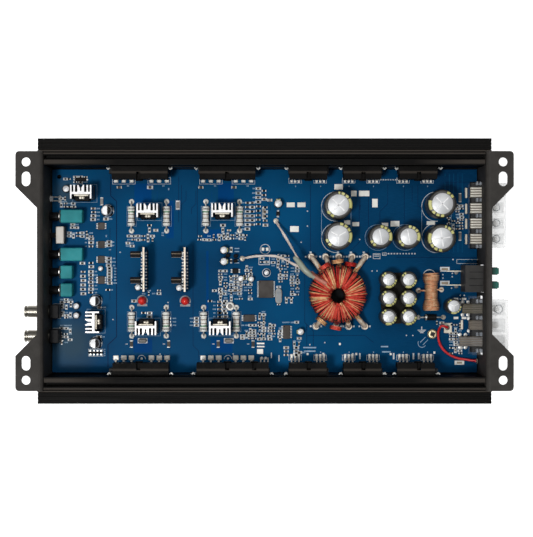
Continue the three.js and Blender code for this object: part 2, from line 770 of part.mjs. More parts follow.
// A plug-in fuse on the X axis: a flat head with two blades that point to -X.
function bladeFuse() {
  const half = FUSE_WIDTH / 2;
  const head = [
    [0, -half + 1.4],
    [6, -half + 1.4],
    [7, -half],
    [11.4, -half],
    [11.4, half],
    [7, half],
    [6, half - 1.4],
    [0, half - 1.4],
  ];
  const blades = [-1, 1].map((side) => {
    const middle = side * 5.6;
    const outline = [
      [0.2, middle - 2.6],
      [0.2, middle + 2.6],
      [-6, middle + 2.6],
      [-7.2, middle + 1.4],
      [-7.2, middle - 1.4],
      [-6, middle - 2.6],
    ];
    return prism(outline, "y", -0.4, 0.4);
  });
  return join(prism(head, "y", -FUSE_THICKNESS / 2, FUSE_THICKNESS / 2), ...blades);
}

// The fuse holder: a pocket for each fuse head, and behind it a slit for each blade.
function fuseHolder() {
  const { x, y, z } = FUSE_HOLDER;
  const tools = FUSE_Y.flatMap((fuseY) => {
    const pocket = block([148.4, x[1] + 1], around(fuseY, FUSE_THICKNESS / 2 + 0.35), around(FUSE_Z, 9.9));
    const slits = [-5.6, 5.6].map((offset) => {
      return block([141, 149], around(fuseY, 0.75), around(FUSE_Z + offset, 3));
    });
    return [pocket, ...slits];
  });
  return cut(block(x, y, z), ...tools);
}

// A terminal block with a wire socket open to +X and a screw bore open to -Z for each pole.
function terminalBlock({ x, y, z, socketsY, socket, socketDepth, screwRadius }) {
  const middle = (z[0] + z[1]) / 2 + 0.6;
  const tools = socketsY.flatMap((poleY) => [
    block([x[1] - socketDepth, x[1] + 1], around(poleY, socket / 2), around(middle, socket / 2)),
    rod([screwX(x), poleY, z[0] - 1], [screwX(x), poleY, middle], screwRadius + GAP, 14),
  ]);
  return cut(block(x, y, z), ...tools);
}

const screwX = (blockX) => blockX[1] - 7;

// A clamping screw on the Z axis, with its slot at the bottom, where the driver reaches it.
function clampingScrew(radius) {
  const stem = rod([0, 0, 0], [0, 0, 5.4], radius, 14);
  return cut(stem, block([-4, 4], [-0.5, 0.5], [-1, 1.2]));
}

// ---------------------------------------------------------------- leads

function sensorLeads() {
  const { radius, long, short, glue } = SENSOR_LEADS;
  const drop = rod(glue.from, glue.to, glue.radius, 10);
  return join(lead(long, radius), lead(short, radius), drop);
}

// ---------------------------------------------------------------- assembly

const amplifier = new THREE.Group();
amplifier.name = "car_amplifier";

const chassis = new THREE.Group();
chassis.add(
  piece("heatsink_housing", heatsinkHousing(), "anodised_black"),
  piece("control_end_plate", controlEndPlate(), "painted_black"),
  piece("power_end_plate", powerEndPlate(), "painted_black"),
  piece("circuit_board", circuitBoard(), "board_blue"),
  piece("rear_transistor_row", transistorRow(1), "epoxy_black"),
  piece("front_transistor_row", transistorRow(-1), "epoxy_black"),
  ...clampMeshes(),
);

// Everything that is made standing on z = 0 and soldered to the board.
const onBoard = new THREE.Group();
onBoard.position.z = SEAT;

function placed(mesh, x, y, z = 0, turn = 0) {
  mesh.position.set(x, y, z);
  mesh.rotation.z = THREE.MathUtils.degToRad(turn);
  return mesh;
}

for (const { name, x, y } of LARGE_CAPACITORS) {
  onBoard.add(placed(piece(name, can(LARGE_CAN), "sleeve_black"), x, y));
}
for (const { name, x, y } of MEDIUM_CAPACITORS) {
  onBoard.add(placed(piece(name, can(MEDIUM_CAN), "sleeve_black"), x, y));
}
for (const { name, x, y, turn } of DRIVER_HEATSINKS) {
  onBoard.add(placed(piece(name, driverHeatsink(), "bare_aluminium"), x, y, 0, turn));
}
for (const { name, x } of DRIVER_BOARDS) {
  onBoard.add(placed(piece(name, driverBoard(), "board_blue"), x, 0));
}
for (const pot of POTS) {
  onBoard.add(placed(piece(pot.name, potBody(pot), "pot_teal"), POT_FRONT_X, pot.y));
}
onBoard.add(
  piece("input_capacitor_bank", capacitorBank(), "sleeve_black"),
  placed(piece("supply_capacitor", can(SUPPLY_CAN), "sleeve_black"), SUPPLY_CAPACITOR.x, SUPPLY_CAPACITOR.y),
  placed(piece("toroid_transformer", toroidTransformer(), "winding_red"), TOROID.x, TOROID.y),
  placed(piece("rod_choke", rodChoke(), "winding_copper"), CHOKE.x, CHOKE.y),
);

const controlEnd = new THREE.Group();
controlEnd.add(
  piece("crossover_switch", switchBody(), "switch_white"),
  piece("crossover_switch_slider", switchSlider(), "shaft_black"),
  ...RCA_Y.map((y, i) => piece(`rca_jack_${i + 1}`, rcaJack(y), "nickel")),
  ...POTS.map(({ name, y }) => {
    return placed(piece(`${name}_shaft`, potShaft(), "shaft_black"), POT_FRONT_X, y, POT_SHAFT_Z);
  }),
);

const powerEnd = new THREE.Group();
powerEnd.add(
  piece("fuse_holder", fuseHolder(), "holder_grey"),
  ...FUSE_Y.map((y, i) => placed(piece(`blade_fuse_${i + 1}`, bladeFuse(), "fuse_green"), 148.7, y, FUSE_Z)),
);
for (const [name, terminals] of Object.entries({ speaker: SPEAKER_BLOCK, power: POWER_BLOCK })) {
  powerEnd.add(piece(`${name}_terminal_block`, terminalBlock(terminals), "clear_plastic"));
  terminals.socketsY.forEach((y, i) => {
    const screw = clampingScrew(terminals.screwRadius);
    const mesh = piece(`${name}_terminal_screw_${i + 1}`, screw, "screw_steel");
    powerEnd.add(placed(mesh, screwX(terminals.x), y, SEAT + 0.6));
  });
}

const leads = new THREE.Group();
leads.add(
  piece("red_link_lead", lead(LINK_LEAD.points, LINK_LEAD.radius), "lead_red"),
  piece("sensor_leads", sensorLeads(), "lead_white"),
);

amplifier.add(chassis, onBoard, controlEnd, powerEnd, leads);

export default amplifier;
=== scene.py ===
"""Looks of the car amplifier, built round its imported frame.

Lengths are millimetres in the frame's own axes until Shape.finish turns them into metres.
The amplifier lies on its heatsink fins: +X is the power end, +Z points up out of the open tray.
"""

import random
from math import cos, degrees, pi, radians, sin

import bpy
from mathutils import Matrix, Vector


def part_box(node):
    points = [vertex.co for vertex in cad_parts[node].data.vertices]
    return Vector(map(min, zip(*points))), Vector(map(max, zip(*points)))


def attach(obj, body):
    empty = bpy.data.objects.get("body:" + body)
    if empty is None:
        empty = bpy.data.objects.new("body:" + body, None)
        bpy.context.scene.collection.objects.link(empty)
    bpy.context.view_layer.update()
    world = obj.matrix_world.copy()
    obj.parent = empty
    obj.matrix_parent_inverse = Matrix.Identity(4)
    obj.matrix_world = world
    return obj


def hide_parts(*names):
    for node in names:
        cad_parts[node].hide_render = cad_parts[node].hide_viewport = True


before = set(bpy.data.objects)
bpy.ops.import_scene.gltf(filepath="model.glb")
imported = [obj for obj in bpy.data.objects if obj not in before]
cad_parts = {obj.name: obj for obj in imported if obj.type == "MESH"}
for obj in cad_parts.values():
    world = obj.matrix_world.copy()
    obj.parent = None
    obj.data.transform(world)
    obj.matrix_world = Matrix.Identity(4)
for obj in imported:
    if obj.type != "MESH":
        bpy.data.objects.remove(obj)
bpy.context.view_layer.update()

BODY = "amplifier"
METRE = 0.001  # one millimetre in metres
BOARD_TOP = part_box("circuit_board")[1].z / METRE  # upper face of the circuit board
SEAT = BOARD_TOP + 0.05  # where surface parts stand
WALLS = {"rear": 1, "front": -1}  # the side walls and the way each lies along Y
TERMINALS = {"speaker": 4, "power": 3}
POTS = ("crossover", "gain", "bass_boost", "level_trim")
COMBS = {"driver_heatsink_1": 0, "driver_heatsink_2": 0, "driver_heatsink_3": 180, "driver_heatsink_4": 180,
         "regulator_heatsink_1": 0, "regulator_heatsink_2": 90}  # small heatsinks and how each is turned
dice = random.Random(20)


def node_box(node):
    """Lowest and highest corner of a CAD node, in millimetres."""
    low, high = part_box(node)
    return low / METRE, high / METRE


# ------------------------------------------------------------------ nodes, light and floor

CAMERA_AT = (1.3, 1.73, 970.0)  # straight above the board, looking down
LENS = 91.2
LAMPS = (  # name, place in metres, side in metres, watts
    ("key_lamp", (-0.5, -0.42, 2.1), 0.3, 24),
    ("fill_lamp", (0.3, 0.5, 1.9), 1.3, 10),
    ("side_lamp", (-1.4, 0.4, 1.1), 0.8, 3),
)


def feed(tree, target, value):
    """Links an output to an input, or sets the input to a constant."""
    if isinstance(value, bpy.types.NodeSocket):
        tree.links.new(value, target)
    else:
        target.default_value = (*value, 1) if target.type == "RGBA" else value


def add_node(tree, kind, inputs=None, **settings):
    made = tree.nodes.new("ShaderNode" + kind)
    for key, value in settings.items():
        setattr(made, key, value)
    for key, value in (inputs or {}).items():
        feed(tree, made.inputs[key], value)
    return made


def add_ramp(tree, value, first, second, low, high):
    """Colours from the first at one value to the second at another."""
    made = add_node(tree, "ValToRGB", {0: value})
    for element, position, colour in zip(made.color_ramp.elements, (low, high), (first, second)):
        element.position = position
        element.color = (*colour, 1)
    return made.outputs[0]


def into_scene(name, data):
    made = bpy.data.objects.new(name, data)
    bpy.context.scene.collection.objects.link(made)
    return made


def make_studio():
    """Camera, square lamps that face the board, dim surroundings and a pale floor."""
    camera = into_scene("camera", bpy.data.cameras.new("camera"))
    camera.data.lens = LENS
    camera.location = Vector(CAMERA_AT) * METRE
    bpy.context.scene.camera = camera
    for name, at, side, watts in LAMPS:
        lamp = into_scene(name, bpy.data.lights.new(name, "AREA"))
        lamp.data.shape = "RECTANGLE"
        lamp.data.size = lamp.data.size_y = side
        lamp.data.energy = watts
        lamp.location = at
        lamp.rotation_mode = "QUATERNION"
        lamp.rotation_quaternion = (-Vector(at)).to_track_quat("-Z", "Y")
    world = bpy.data.worlds.new("studio")
    bpy.context.scene.world = world
    world.use_nodes = True
    tree = world.node_tree
    split = add_node(tree, "SeparateXYZ", {0: add_node(tree, "TexCoord").outputs["Generated"]})
    sky = add_ramp(tree, split.outputs["Z"], (0.13, 0.13, 0.13), (0.08, 0.08, 0.082), 0, 1)
    feed(tree, tree.nodes["Background"].inputs[0], sky)
    tree.nodes["Background"].inputs[1].default_value = 1.0
    bpy.ops.mesh.primitive_plane_add(size=8, location=(0, 0, -0.0002))
    floor = bpy.context.object
    floor.name = "floor"
    material = bpy.data.materials.new("floor")
    material.use_nodes = True
    shader = material.node_tree.nodes["Principled BSDF"]
    shader.inputs["Base Color"].default_value = (0.93, 0.93, 0.93, 1)
    shader.inputs["Roughness"].default_value = 0.9
    shader.inputs["Emission Color"].default_value = (1, 1, 1, 1)
    shader.inputs["Emission Strength"].default_value = 0.85
    floor.data.materials.append(material)
    bpy.context.scene.view_settings.view_transform = "Standard"


make_studio()


# ------------------------------------------------------------------ materials

ALONG_X = (0.02, 1, 1)  # stretches a noise along the extrusion


class Finish:
    """A procedural material in the making, on top of a Principled shader."""

    def __init__(self, name):
        self.material = bpy.data.materials.new(name)
        self.material.use_nodes = True
        self.tree = self.material.node_tree
        self.shader = self.tree.nodes["Principled BSDF"]
        self.place = self.node("TexCoord").outputs["Object"]

    def node(self, kind, inputs=None, **settings):
        return add_node(self.tree, kind, inputs, **settings)

    def noise(self, scale, stretch=(1, 1, 1), detail=3.0):
        """Noise over the piece, with features about 1 / scale metres apart."""
        mapping = self.node("Mapping", {"Scale": stretch, "Vector": self.place})
        inputs = {"Scale": scale, "Detail": detail, "Vector": mapping.outputs[0]}
        return self.node("TexNoise", inputs).outputs["Fac"]

    def ramp(self, value, first, second, low=0.3, high=0.7):
        return add_ramp(self.tree, value, first, second, low, high)

    def remap(self, value, low, high, to_low=0.0, to_high=1.0):
        """Stretches low ... high to another range, and holds what is outside at its ends."""
        inputs = {"Value": value, "From Min": low, "From Max": high, "To Min": to_low, "To Max": to_high}
        return self.node("MapRange", inputs).outputs[0]

    def mix(self, share, first, second):
        """Colour between two colours or outputs."""
        return self.node("Mix", {0: share, 6: first, 7: second}, data_type="RGBA").outputs[2]

    def calc(self, operation, first, second):
        """Arithmetic between two values, each a number or an output, held to 0 ... 1."""
        return self.node("Math", {0: first, 1: second}, operation=operation, use_clamp=True).outputs[0]

    def both(self, first, second):
        return self.calc("MULTIPLY", first, second)

    def edges(self, radius, sharpness=6.0):
        """1 along edges that stick out or fold in, 0 on flats."""
        bevel = self.node("Bevel", {"Radius": radius * METRE}, samples=4).outputs[0]
        normal = self.node("NewGeometry").outputs["Normal"]
        dot = self.node("VectorMath", {0: bevel, 1: normal}, operation="DOT_PRODUCT").outputs["Value"]
        return self.both(self.calc("SUBTRACT", 1.0, dot), sharpness)

    def facing_up(self, start=0.4, full=0.8):
        """1 on faces that look up, 0 on upright ones."""
        split = self.node("SeparateXYZ", {0: self.node("NewGeometry").outputs["Normal"]})
        return self.remap(split.outputs["Z"], start, full)

    def near(self, point, radius):
        """Most of the way to 1 close to a point in millimetres, 0 from the radius outwards."""
        inputs = {0: self.place, 1: Vector(point) * METRE}
        distance = self.node("VectorMath", inputs, operation="DISTANCE").outputs["Value"]
        return self.remap(distance, 0.3 * radius * METRE, radius * METRE, 0.7, 0.0)

    def step(self, axis, above, low=0.0, high=1.0, soft=0.05):
        """A mask that is high where the frame coordinate is above a number of millimetres."""
        source = self.node("SeparateXYZ", {0: self.place}).outputs[axis.strip("|")]
        if axis.startswith("|"):
            source = self.node("Math", {0: source}, operation="ABSOLUTE").outputs[0]
        return self.remap(source, (above - soft) * METRE, (above + soft) * METRE, low, high)

    def band(self, axis, low, high):
        """1 between two coordinates in millimetres, 0 outside them."""
        return self.both(self.step(axis, low), self.step(axis, high, 1.0, 0.0))

    def done(self, colour, fine, rough, slack=0.06, depth=0.02, **more):
        """Joins the colour, an uneven gloss and a slight surface bump to the shader."""
        gloss = self.remap(fine, 0.3, 0.7, rough - slack, rough + slack)
        bump = self.node("Bump", {"Strength": 0.6, "Distance": depth * METRE, "Height": fine})
        sockets = {"Base_Color": colour, "Roughness": gloss, "Normal": bump.outputs[0], **more}
        for key, value in sockets.items():
            feed(self.tree, self.shader.inputs[key.replace("_", " ")], value)
        return self.material


def plain(name, dark, light, rough, metallic=0.0, scale=900):
    """A finish with fine mottling between two colours."""
    finish = Finish(name)
    stretch = (0.1, 1, 1) if name in BRUSHED else (1, 1, 1)
    wide = finish.noise(scale * 0.12, stretch)
    fine = finish.noise(scale, stretch)
    return finish.done(finish.ramp(wide, dark, light), fine, rough, 0.06, DEPTH.get(name, 0.02),
                       Metallic=metallic, Alpha=ALPHA.get(name, 1.0),
                       Specular_IOR_Level=SPECULAR.get(name, 0.5))


def lit_from_above(name, dark, light, shade, rough=0.32, metallic=0.2, scale=420):
    """A finish that falls off to a shade colour on upright faces: painted shade, with the tops painted as lit
    from above.
    """
    finish = Finish(name)
    bright = finish.ramp(finish.noise(scale, detail=1.0), dark, light, 0.25, 0.75)
    colour = finish.mix(finish.facing_up(0.15, 0.85), shade, bright)
    return finish.done(colour, finish.noise(2400), rough, 0.08, 0.01, Metallic=metallic)


def painted_finish():
    """Black paint, paler along its edges."""
    finish = Finish("painted")
    base = finish.ramp(finish.noise(150), (0.036, 0.033, 0.03), (0.05, 0.046, 0.042))
    colour = finish.mix(finish.edges(0.35), base, (0.1, 0.093, 0.085))
    return finish.done(colour, finish.noise(1500), 0.62, 0.08, 0.03, Specular_IOR_Level=0.15)


def solder_mask():
    """Blue lacquer over copper, with painted shade that darkens it towards the power end and two pale patches
    of painted reflection at the control end.
    """
    finish = Finish("solder_mask")
    wide = finish.noise(22, detail=2.0)
    # Painted shade: the colours for the power end, on the right, are darker than those for the control end.
    left = finish.ramp(wide, (0.0, 0.046, 0.128), (0.0, 0.074, 0.19))
    right = finish.ramp(wide, (0.0, 0.03, 0.088), (0.0, 0.042, 0.112))
    base = finish.mix(finish.step("X", 70, soft=45), left, right)
    streak = finish.ramp(finish.noise(260, (1, 12, 1)), (0, 0, 0), (1, 1, 1), 0.45, 0.75)
    base = finish.mix(finish.both(streak, 0.6), base, (0.002, 0.06, 0.17))
    # Painted reflection: paler patches where the lamp would shine back off the lacquer.
    for x, y, radius in ((-135, -50, 24), (-138, 55, 13)):
        base = finish.mix(finish.near((x, y, BOARD_TOP), radius), base, (0.045, 0.085, 0.112))
    weave = finish.noise(1600, (1, 1, 0.2))
    return finish.done(base, weave, 0.36, 0.06, 0.012, Specular_IOR_Level=0.02)


def transistor_finish():
    """Black epoxy cases on tinned leads, told apart by how far out they stand."""
    finish = Finish("transistor_case")
    fine = finish.noise(1400)
    case = finish.ramp(fine, (0.006, 0.006, 0.007), (0.013, 0.013, 0.014))
    lead = finish.ramp(fine, (0.36, 0.34, 0.3), (0.6, 0.58, 0.54))
    colour = finish.mix(finish.step("|Y", 63.6), lead, case)
    return finish.done(colour, fine, 0.5, 0.1, Specular_IOR_Level=0.15)


def housing_finish():
    """Black anodising, paler along its edges, with painted highlights along the crests and ledges of the side
    walls and painted shade on their inner faces.
    """
    finish = Finish("anodised")
    base = finish.ramp(finish.noise(90, ALONG_X), (0.0042, 0.004, 0.0038), (0.0068, 0.0064, 0.006))
    base = finish.mix(finish.both(finish.edges(0.35), 0.5), base, (0.05, 0.046, 0.042))
    # Painted highlight: pale lines on the crests, and on the ledge towards both ends, on faces that look up.
    crest = finish.calc("ADD", finish.band("|Y", 80.7, 81.6), finish.band("|Y", 78.9, 79.7))
    ledge = finish.both(finish.band("|Y", 72.4, 75.0), finish.step("|X", 118, soft=18))
    wall_highlight = finish.both(finish.calc("ADD", crest, finish.both(ledge, 0.8)), finish.facing_up())
    # Painted shade: upright faces inside the walls are darker.
    inside = finish.both(finish.step("|Y", 76.4, 1.0, 0.0), finish.facing_up(0.8, 0.4))
    base = finish.mix(inside, base, (0.003, 0.003, 0.003))
    colour = finish.mix(wall_highlight, base, (0.055, 0.047, 0.04))
    return finish.done(colour, finish.noise(900, ALONG_X), 0.525, 0.075, 0.03, Specular_IOR_Level=0.04)


def clamp_finish():
    """Blackened steel, with a painted highlight along the bend."""
    finish = Finish("clamp")
    base = finish.ramp(finish.noise(80), (0.005, 0.0048, 0.0045), (0.01, 0.0093, 0.0088))
    # Painted highlight: a pale band on the top face along the bend.
    bend_highlight = finish.both(finish.band("|Y", 66.4, 68.0), finish.facing_up())
    colour = finish.mix(bend_highlight, base, (0.04, 0.034, 0.029))
    return finish.done(colour, finish.noise(800), 0.5, 0.08, Specular_IOR_Level=0.03)


def clear_finish():
    """Clear plastic: almost unseen over the board, milky where it stands out of the end plate."""
    finish = Finish("clear")
    milky = finish.ramp(finish.noise(60), (0.8, 0.81, 0.81), (0.92, 0.93, 0.93))
    # Painted shade: the edges are darker grey where the clear plastic would bend light away.
    colour = finish.mix(finish.edges(0.4), milky, (0.4, 0.4, 0.4))
    nose = finish.both(finish.step("Y", -19.5), finish.step("Y", 2, 1.0, 0.0))
    seen = finish.both(finish.step("X", 151.2), finish.calc("SUBTRACT", 1.0, nose))
    share = finish.calc("ADD", finish.both(seen, 0.26), 0.04)
    return finish.done(colour, finish.noise(1200), 0.23, 0.07, 0.01, Alpha=share, Specular_IOR_Level=0.2)


# What sets a plain finish apart: noise drawn out along X, depth of its bumps, reflection, opacity.
BRUSHED = ("nickel", "contact")
DEPTH = {"tin": 0.06, "solder": 0.08, "pad_solder": 0.08, "hasl": 0.05, "cream_metal": 0.03, "can_top": 0.03,
         "glue": 0.2, "brown_glue": 0.2}
SPECULAR = {"epoxy": 0.05, "chip": 0.1, "dark_part": 0.1, "tan_dark": 0.2, "gap": 0.02, "deep_mask": 0.01,
            "pale_mask": 0.02, "stripe": 0.2, "ferrite": 0.1, "teal": 0.15, "black": 0.06, "holder": 0.25,
            "fuse": 0.2, "brown_glue": 0.05, "dark_band": 0.2}
ALPHA = {"clear_lens": 0.6, "glue": 0.8}

# Dark colour, light colour, roughness, then metallic and noise scale where they aren't 0 and 900.
PLAIN = {
    "epoxy": ((0.005, 0.005, 0.006), (0.012, 0.012, 0.013), 0.5),
    "chip": ((0.055, 0.048, 0.044), (0.095, 0.085, 0.078), 0.55),
    "dark_part": ((0.02, 0.014, 0.012), (0.045, 0.032, 0.026), 0.5),
    "tan_dark": ((0.07, 0.05, 0.035), (0.14, 0.1, 0.07), 0.5),
    "tin": ((0.42, 0.41, 0.38), (0.72, 0.71, 0.68), 0.34, 0.7, 600),
    "solder": ((0.48, 0.48, 0.46), (0.76, 0.76, 0.73), 0.36, 0.3, 500),
    "pad_solder": ((0.62, 0.6, 0.54), (0.86, 0.84, 0.78), 0.4, 0.15, 500),
    "hasl": ((0.46, 0.46, 0.42), (0.68, 0.67, 0.63), 0.4, 0.35, 400),
    "cream_metal": ((0.5, 0.45, 0.36), (0.72, 0.67, 0.56), 0.42, 0.3, 400),
    "print": ((0.42, 0.46, 0.48), (0.66, 0.7, 0.72), 0.6, 0.0, 1800),
    "print_blue": ((0.16, 0.28, 0.4), (0.32, 0.46, 0.6), 0.6, 0.0, 1800),
    "print_grey": ((0.2, 0.22, 0.24), (0.36, 0.38, 0.39), 0.6, 0.0, 1800),
    "gap": ((0.0, 0.012, 0.05), (0.002, 0.02, 0.07), 0.35),
    "deep_mask": ((0.0, 0.048, 0.19), (0.0, 0.06, 0.215), 0.35, 0.0, 300),
    "pale_mask": ((0.0, 0.06, 0.155), (0.001, 0.075, 0.18), 0.35, 0.0, 300),
    "sleeve": ((0.022, 0.021, 0.018), (0.042, 0.04, 0.035), 0.34, 0.0, 500),
    "stripe": ((0.5, 0.48, 0.15), (0.68, 0.66, 0.28), 0.4, 0.0, 700),
    "can_top": ((0.54, 0.55, 0.56), (0.74, 0.75, 0.76), 0.46, 0.35, 500),
    "score": ((0.8, 0.8, 0.8), (0.94, 0.94, 0.94), 0.5, 0.2),
    "ferrite": ((0.008, 0.006, 0.006), (0.02, 0.014, 0.012), 0.7),
    "teal": ((0.012, 0.2, 0.22), (0.03, 0.33, 0.36), 0.5, 0.0, 500),
    "black": ((0.005, 0.005, 0.006), (0.011, 0.011, 0.012), 0.42),
    "white": ((0.6, 0.56, 0.5), (0.78, 0.73, 0.66), 0.45, 0.0, 300),
    "nickel": ((0.2, 0.19, 0.16), (0.34, 0.32, 0.28), 0.33, 0.85, 300),
    "steel": ((0.4, 0.39, 0.37), (0.66, 0.65, 0.62), 0.34, 0.9, 500),
    "brass": ((0.5, 0.4, 0.22), (0.74, 0.64, 0.42), 0.34, 0.7, 500),
    "dark_metal": ((0.09, 0.08, 0.07), (0.2, 0.18, 0.16), 0.36, 0.6, 400),
    "contact": ((0.66, 0.62, 0.52), (0.92, 0.89, 0.8), 0.34, 0.3, 300),
    "contact_dark": ((0.1, 0.08, 0.06), (0.2, 0.165, 0.125), 0.45, 0.2, 300),
    "olive_metal": ((0.08, 0.075, 0.045), (0.16, 0.15, 0.1), 0.4, 0.4, 300),
    "partition": ((0.13, 0.15, 0.18), (0.3, 0.32, 0.35), 0.3, 0.0, 500),
    "holder": ((0.02, 0.019, 0.018), (0.04, 0.038, 0.036), 0.55, 0.0, 300),
    "fuse": ((0.004, 0.09, 0.066), (0.012, 0.165, 0.125), 0.25, 0.0, 300),
    "clear_lens": ((0.5, 0.5, 0.5), (0.7, 0.7, 0.7), 0.16, 0.0, 200),
    "red_jacket": ((0.42, 0.007, 0.01), (0.66, 0.02, 0.025), 0.36, 0.0, 400),
    "white_jacket": ((0.62, 0.52, 0.45), (0.85, 0.78, 0.72), 0.5),
    "sleeve_clear": ((0.3, 0.33, 0.26), (0.46, 0.48, 0.4), 0.3, 0.0, 300),
    "glue": ((0.5, 0.14, 0.1), (0.75, 0.3, 0.22), 0.24, 0.0, 200),
    "brown_glue": ((0.004, 0.006, 0.008), (0.022, 0.018, 0.01), 0.5, 0.0, 300),
    "red_lens": ((0.6, 0.012, 0.008), (0.9, 0.05, 0.035), 0.14, 0.0, 300),
    "ceramic": ((0.78, 0.78, 0.73), (0.95, 0.95, 0.9), 0.55, 0.0, 500),
    "ceramic_warm": ((0.4, 0.35, 0.26), (0.56, 0.5, 0.4), 0.55, 0.0, 500),
    "green_band": ((0.03, 0.2, 0.08), (0.06, 0.28, 0.12), 0.5),
    "dark_band": ((0.015, 0.015, 0.015), (0.04, 0.04, 0.04), 0.5),
    "tan": ((0.2, 0.15, 0.1), (0.34, 0.27, 0.19), 0.55),
    "grey_part": ((0.13, 0.12, 0.115), (0.24, 0.225, 0.21), 0.5),
}

# Dark colour, light colour, shade colour, then roughness, metallic and noise scale where they differ.
LIT = {
    "comb": ((0.72, 0.71, 0.71), (0.95, 0.94, 0.94), (0.05, 0.05, 0.055), 0.4),
    "red_wire": ((0.4, 0.008, 0.006), (0.82, 0.05, 0.035), (0.02, 0.001, 0.001)),
    # A lighter copy of the red wire: painted highlight on turns and strands that catch the light.
    "salmon_wire": ((0.66, 0.03, 0.02), (1.0, 0.17, 0.11), (0.04, 0.002, 0.002)),
    "amber_wire": ((0.8, 0.3, 0.12), (1.0, 0.7, 0.36), (0.1, 0.02, 0.01), 0.34),
    "copper_wire": ((0.85, 0.3, 0.13), (1.0, 0.68, 0.42), (0.1, 0.03, 0.01), 0.32, 0.3, 500),
    "tinned_end": ((0.62, 0.5, 0.38), (0.9, 0.8, 0.66), (0.3, 0.16, 0.1), 0.36, 0.15),
}

M = {"anodised": housing_finish(), "painted": painted_finish(), "clamp": clamp_finish(),
     "mask": solder_mask(), "case": transistor_finish(), "clear": clear_finish()}
M.update({name: lit_from_above(name, *row) for name, row in LIT.items()})
M.update({name: plain(name, *row) for name, row in PLAIN.items()})


# ------------------------------------------------------------------ shapes


def box_faces(size, edge):
    """Points and faces of a box about the origin, with chamfered edges where edge is above 0."""
    half = [s / 2 for s in size]
    corners = [(i, j, k) for i in (-1, 1) for j in (-1, 1) for k in (-1, 1)]
    if not edge:
        points = [Vector([c[a] * half[a] for a in range(3)]) for c in corners]
        return points, [(0, 1, 3, 2), (4, 6, 7, 5), (0, 4, 5, 1), (2, 3, 7, 6), (0, 2, 6, 4), (1, 5, 7, 3)]
    edge = min(edge, min(half) * 0.9)
    points = [Vector([c[a] * (half[a] - (0 if a == full else edge)) for a in range(3)])
              for c in corners for full in range(3)]
    index = {corner: 3 * n for n, corner in enumerate(corners)}
    faces = [tuple(index[c] + a for a in range(3)) for c in corners]
    for axis in range(3):
        one, two = (a for a in range(3) if a != axis)

        def at(sign, s, t):
            corner = {axis: sign, one: s, two: t}
            return index[corner[0], corner[1], corner[2]]

        for sign in (-1, 1):
            faces.append(tuple(at(sign, s, t) + axis for s, t in ((-1, -1), (1, -1), (1, 1), (-1, 1))))
        for s in (-1, 1):
            for t in (-1, 1):
                low, high = at(-1, s, t), at(1, s, t)
                faces.append((low + one, high + one, high + two, low + two))
    return points, faces


def outward(points, faces):
    """The same faces of a convex body about the origin, all turned to face out."""
    turned = []
    for face in faces:
        a, b, c = (points[i] for i in face[:3])
        turned.append(face if (b - a).cross(c - a).dot(a) > 0 else tuple(reversed(face)))
    return turned


def smooth_path(points, steps=6):
    """Points of a smooth curve that runs through the given ones."""
    points = [Vector(p) for p in points]
    ends = [2 * points[0] - points[1], *points, 2 * points[-1] - points[-2]]
    path = []
    for a, b, c, d in zip(ends, ends[1:], ends[2:], ends[3:]):
        for i in range(steps):
            t = i / steps
            path.append(0.5 * (2 * b + (c - a) * t + (2 * a - 5 * b + 4 * c - d) * t**2
                               + (3 * b - a - 3 * c + d) * t**3))
    return [*path, points[-1]]


def arc(centre, radius, start, end, steps=8):
    """Points of an arc in a plane, angles in degrees."""
    angles = [radians(start + (end - start) * i / steps) for i in range(steps + 1)]
    return [(centre[0] + radius * cos(a), centre[1] + radius * sin(a)) for a in angles]


def polar(angle, reach=1.0):
    """A flat vector that points along an angle in degrees."""
    return Vector((cos(radians(angle)) * reach, sin(radians(angle)) * reach, 0))


def standing(x, y, turn=0):
    """A matrix that moves a body over the board and turns it by degrees about Z."""
    return Matrix.Translation((x, y, 0)) @ Matrix.Rotation(radians(turn), 4, "Z")


def rim(point, side, up, size, sides):
    """Points round a wire's cross-section."""
    return [point + size * (cos(a) * side + sin(a) * up) for a in (2 * pi * i / sides for i in range(sides))]


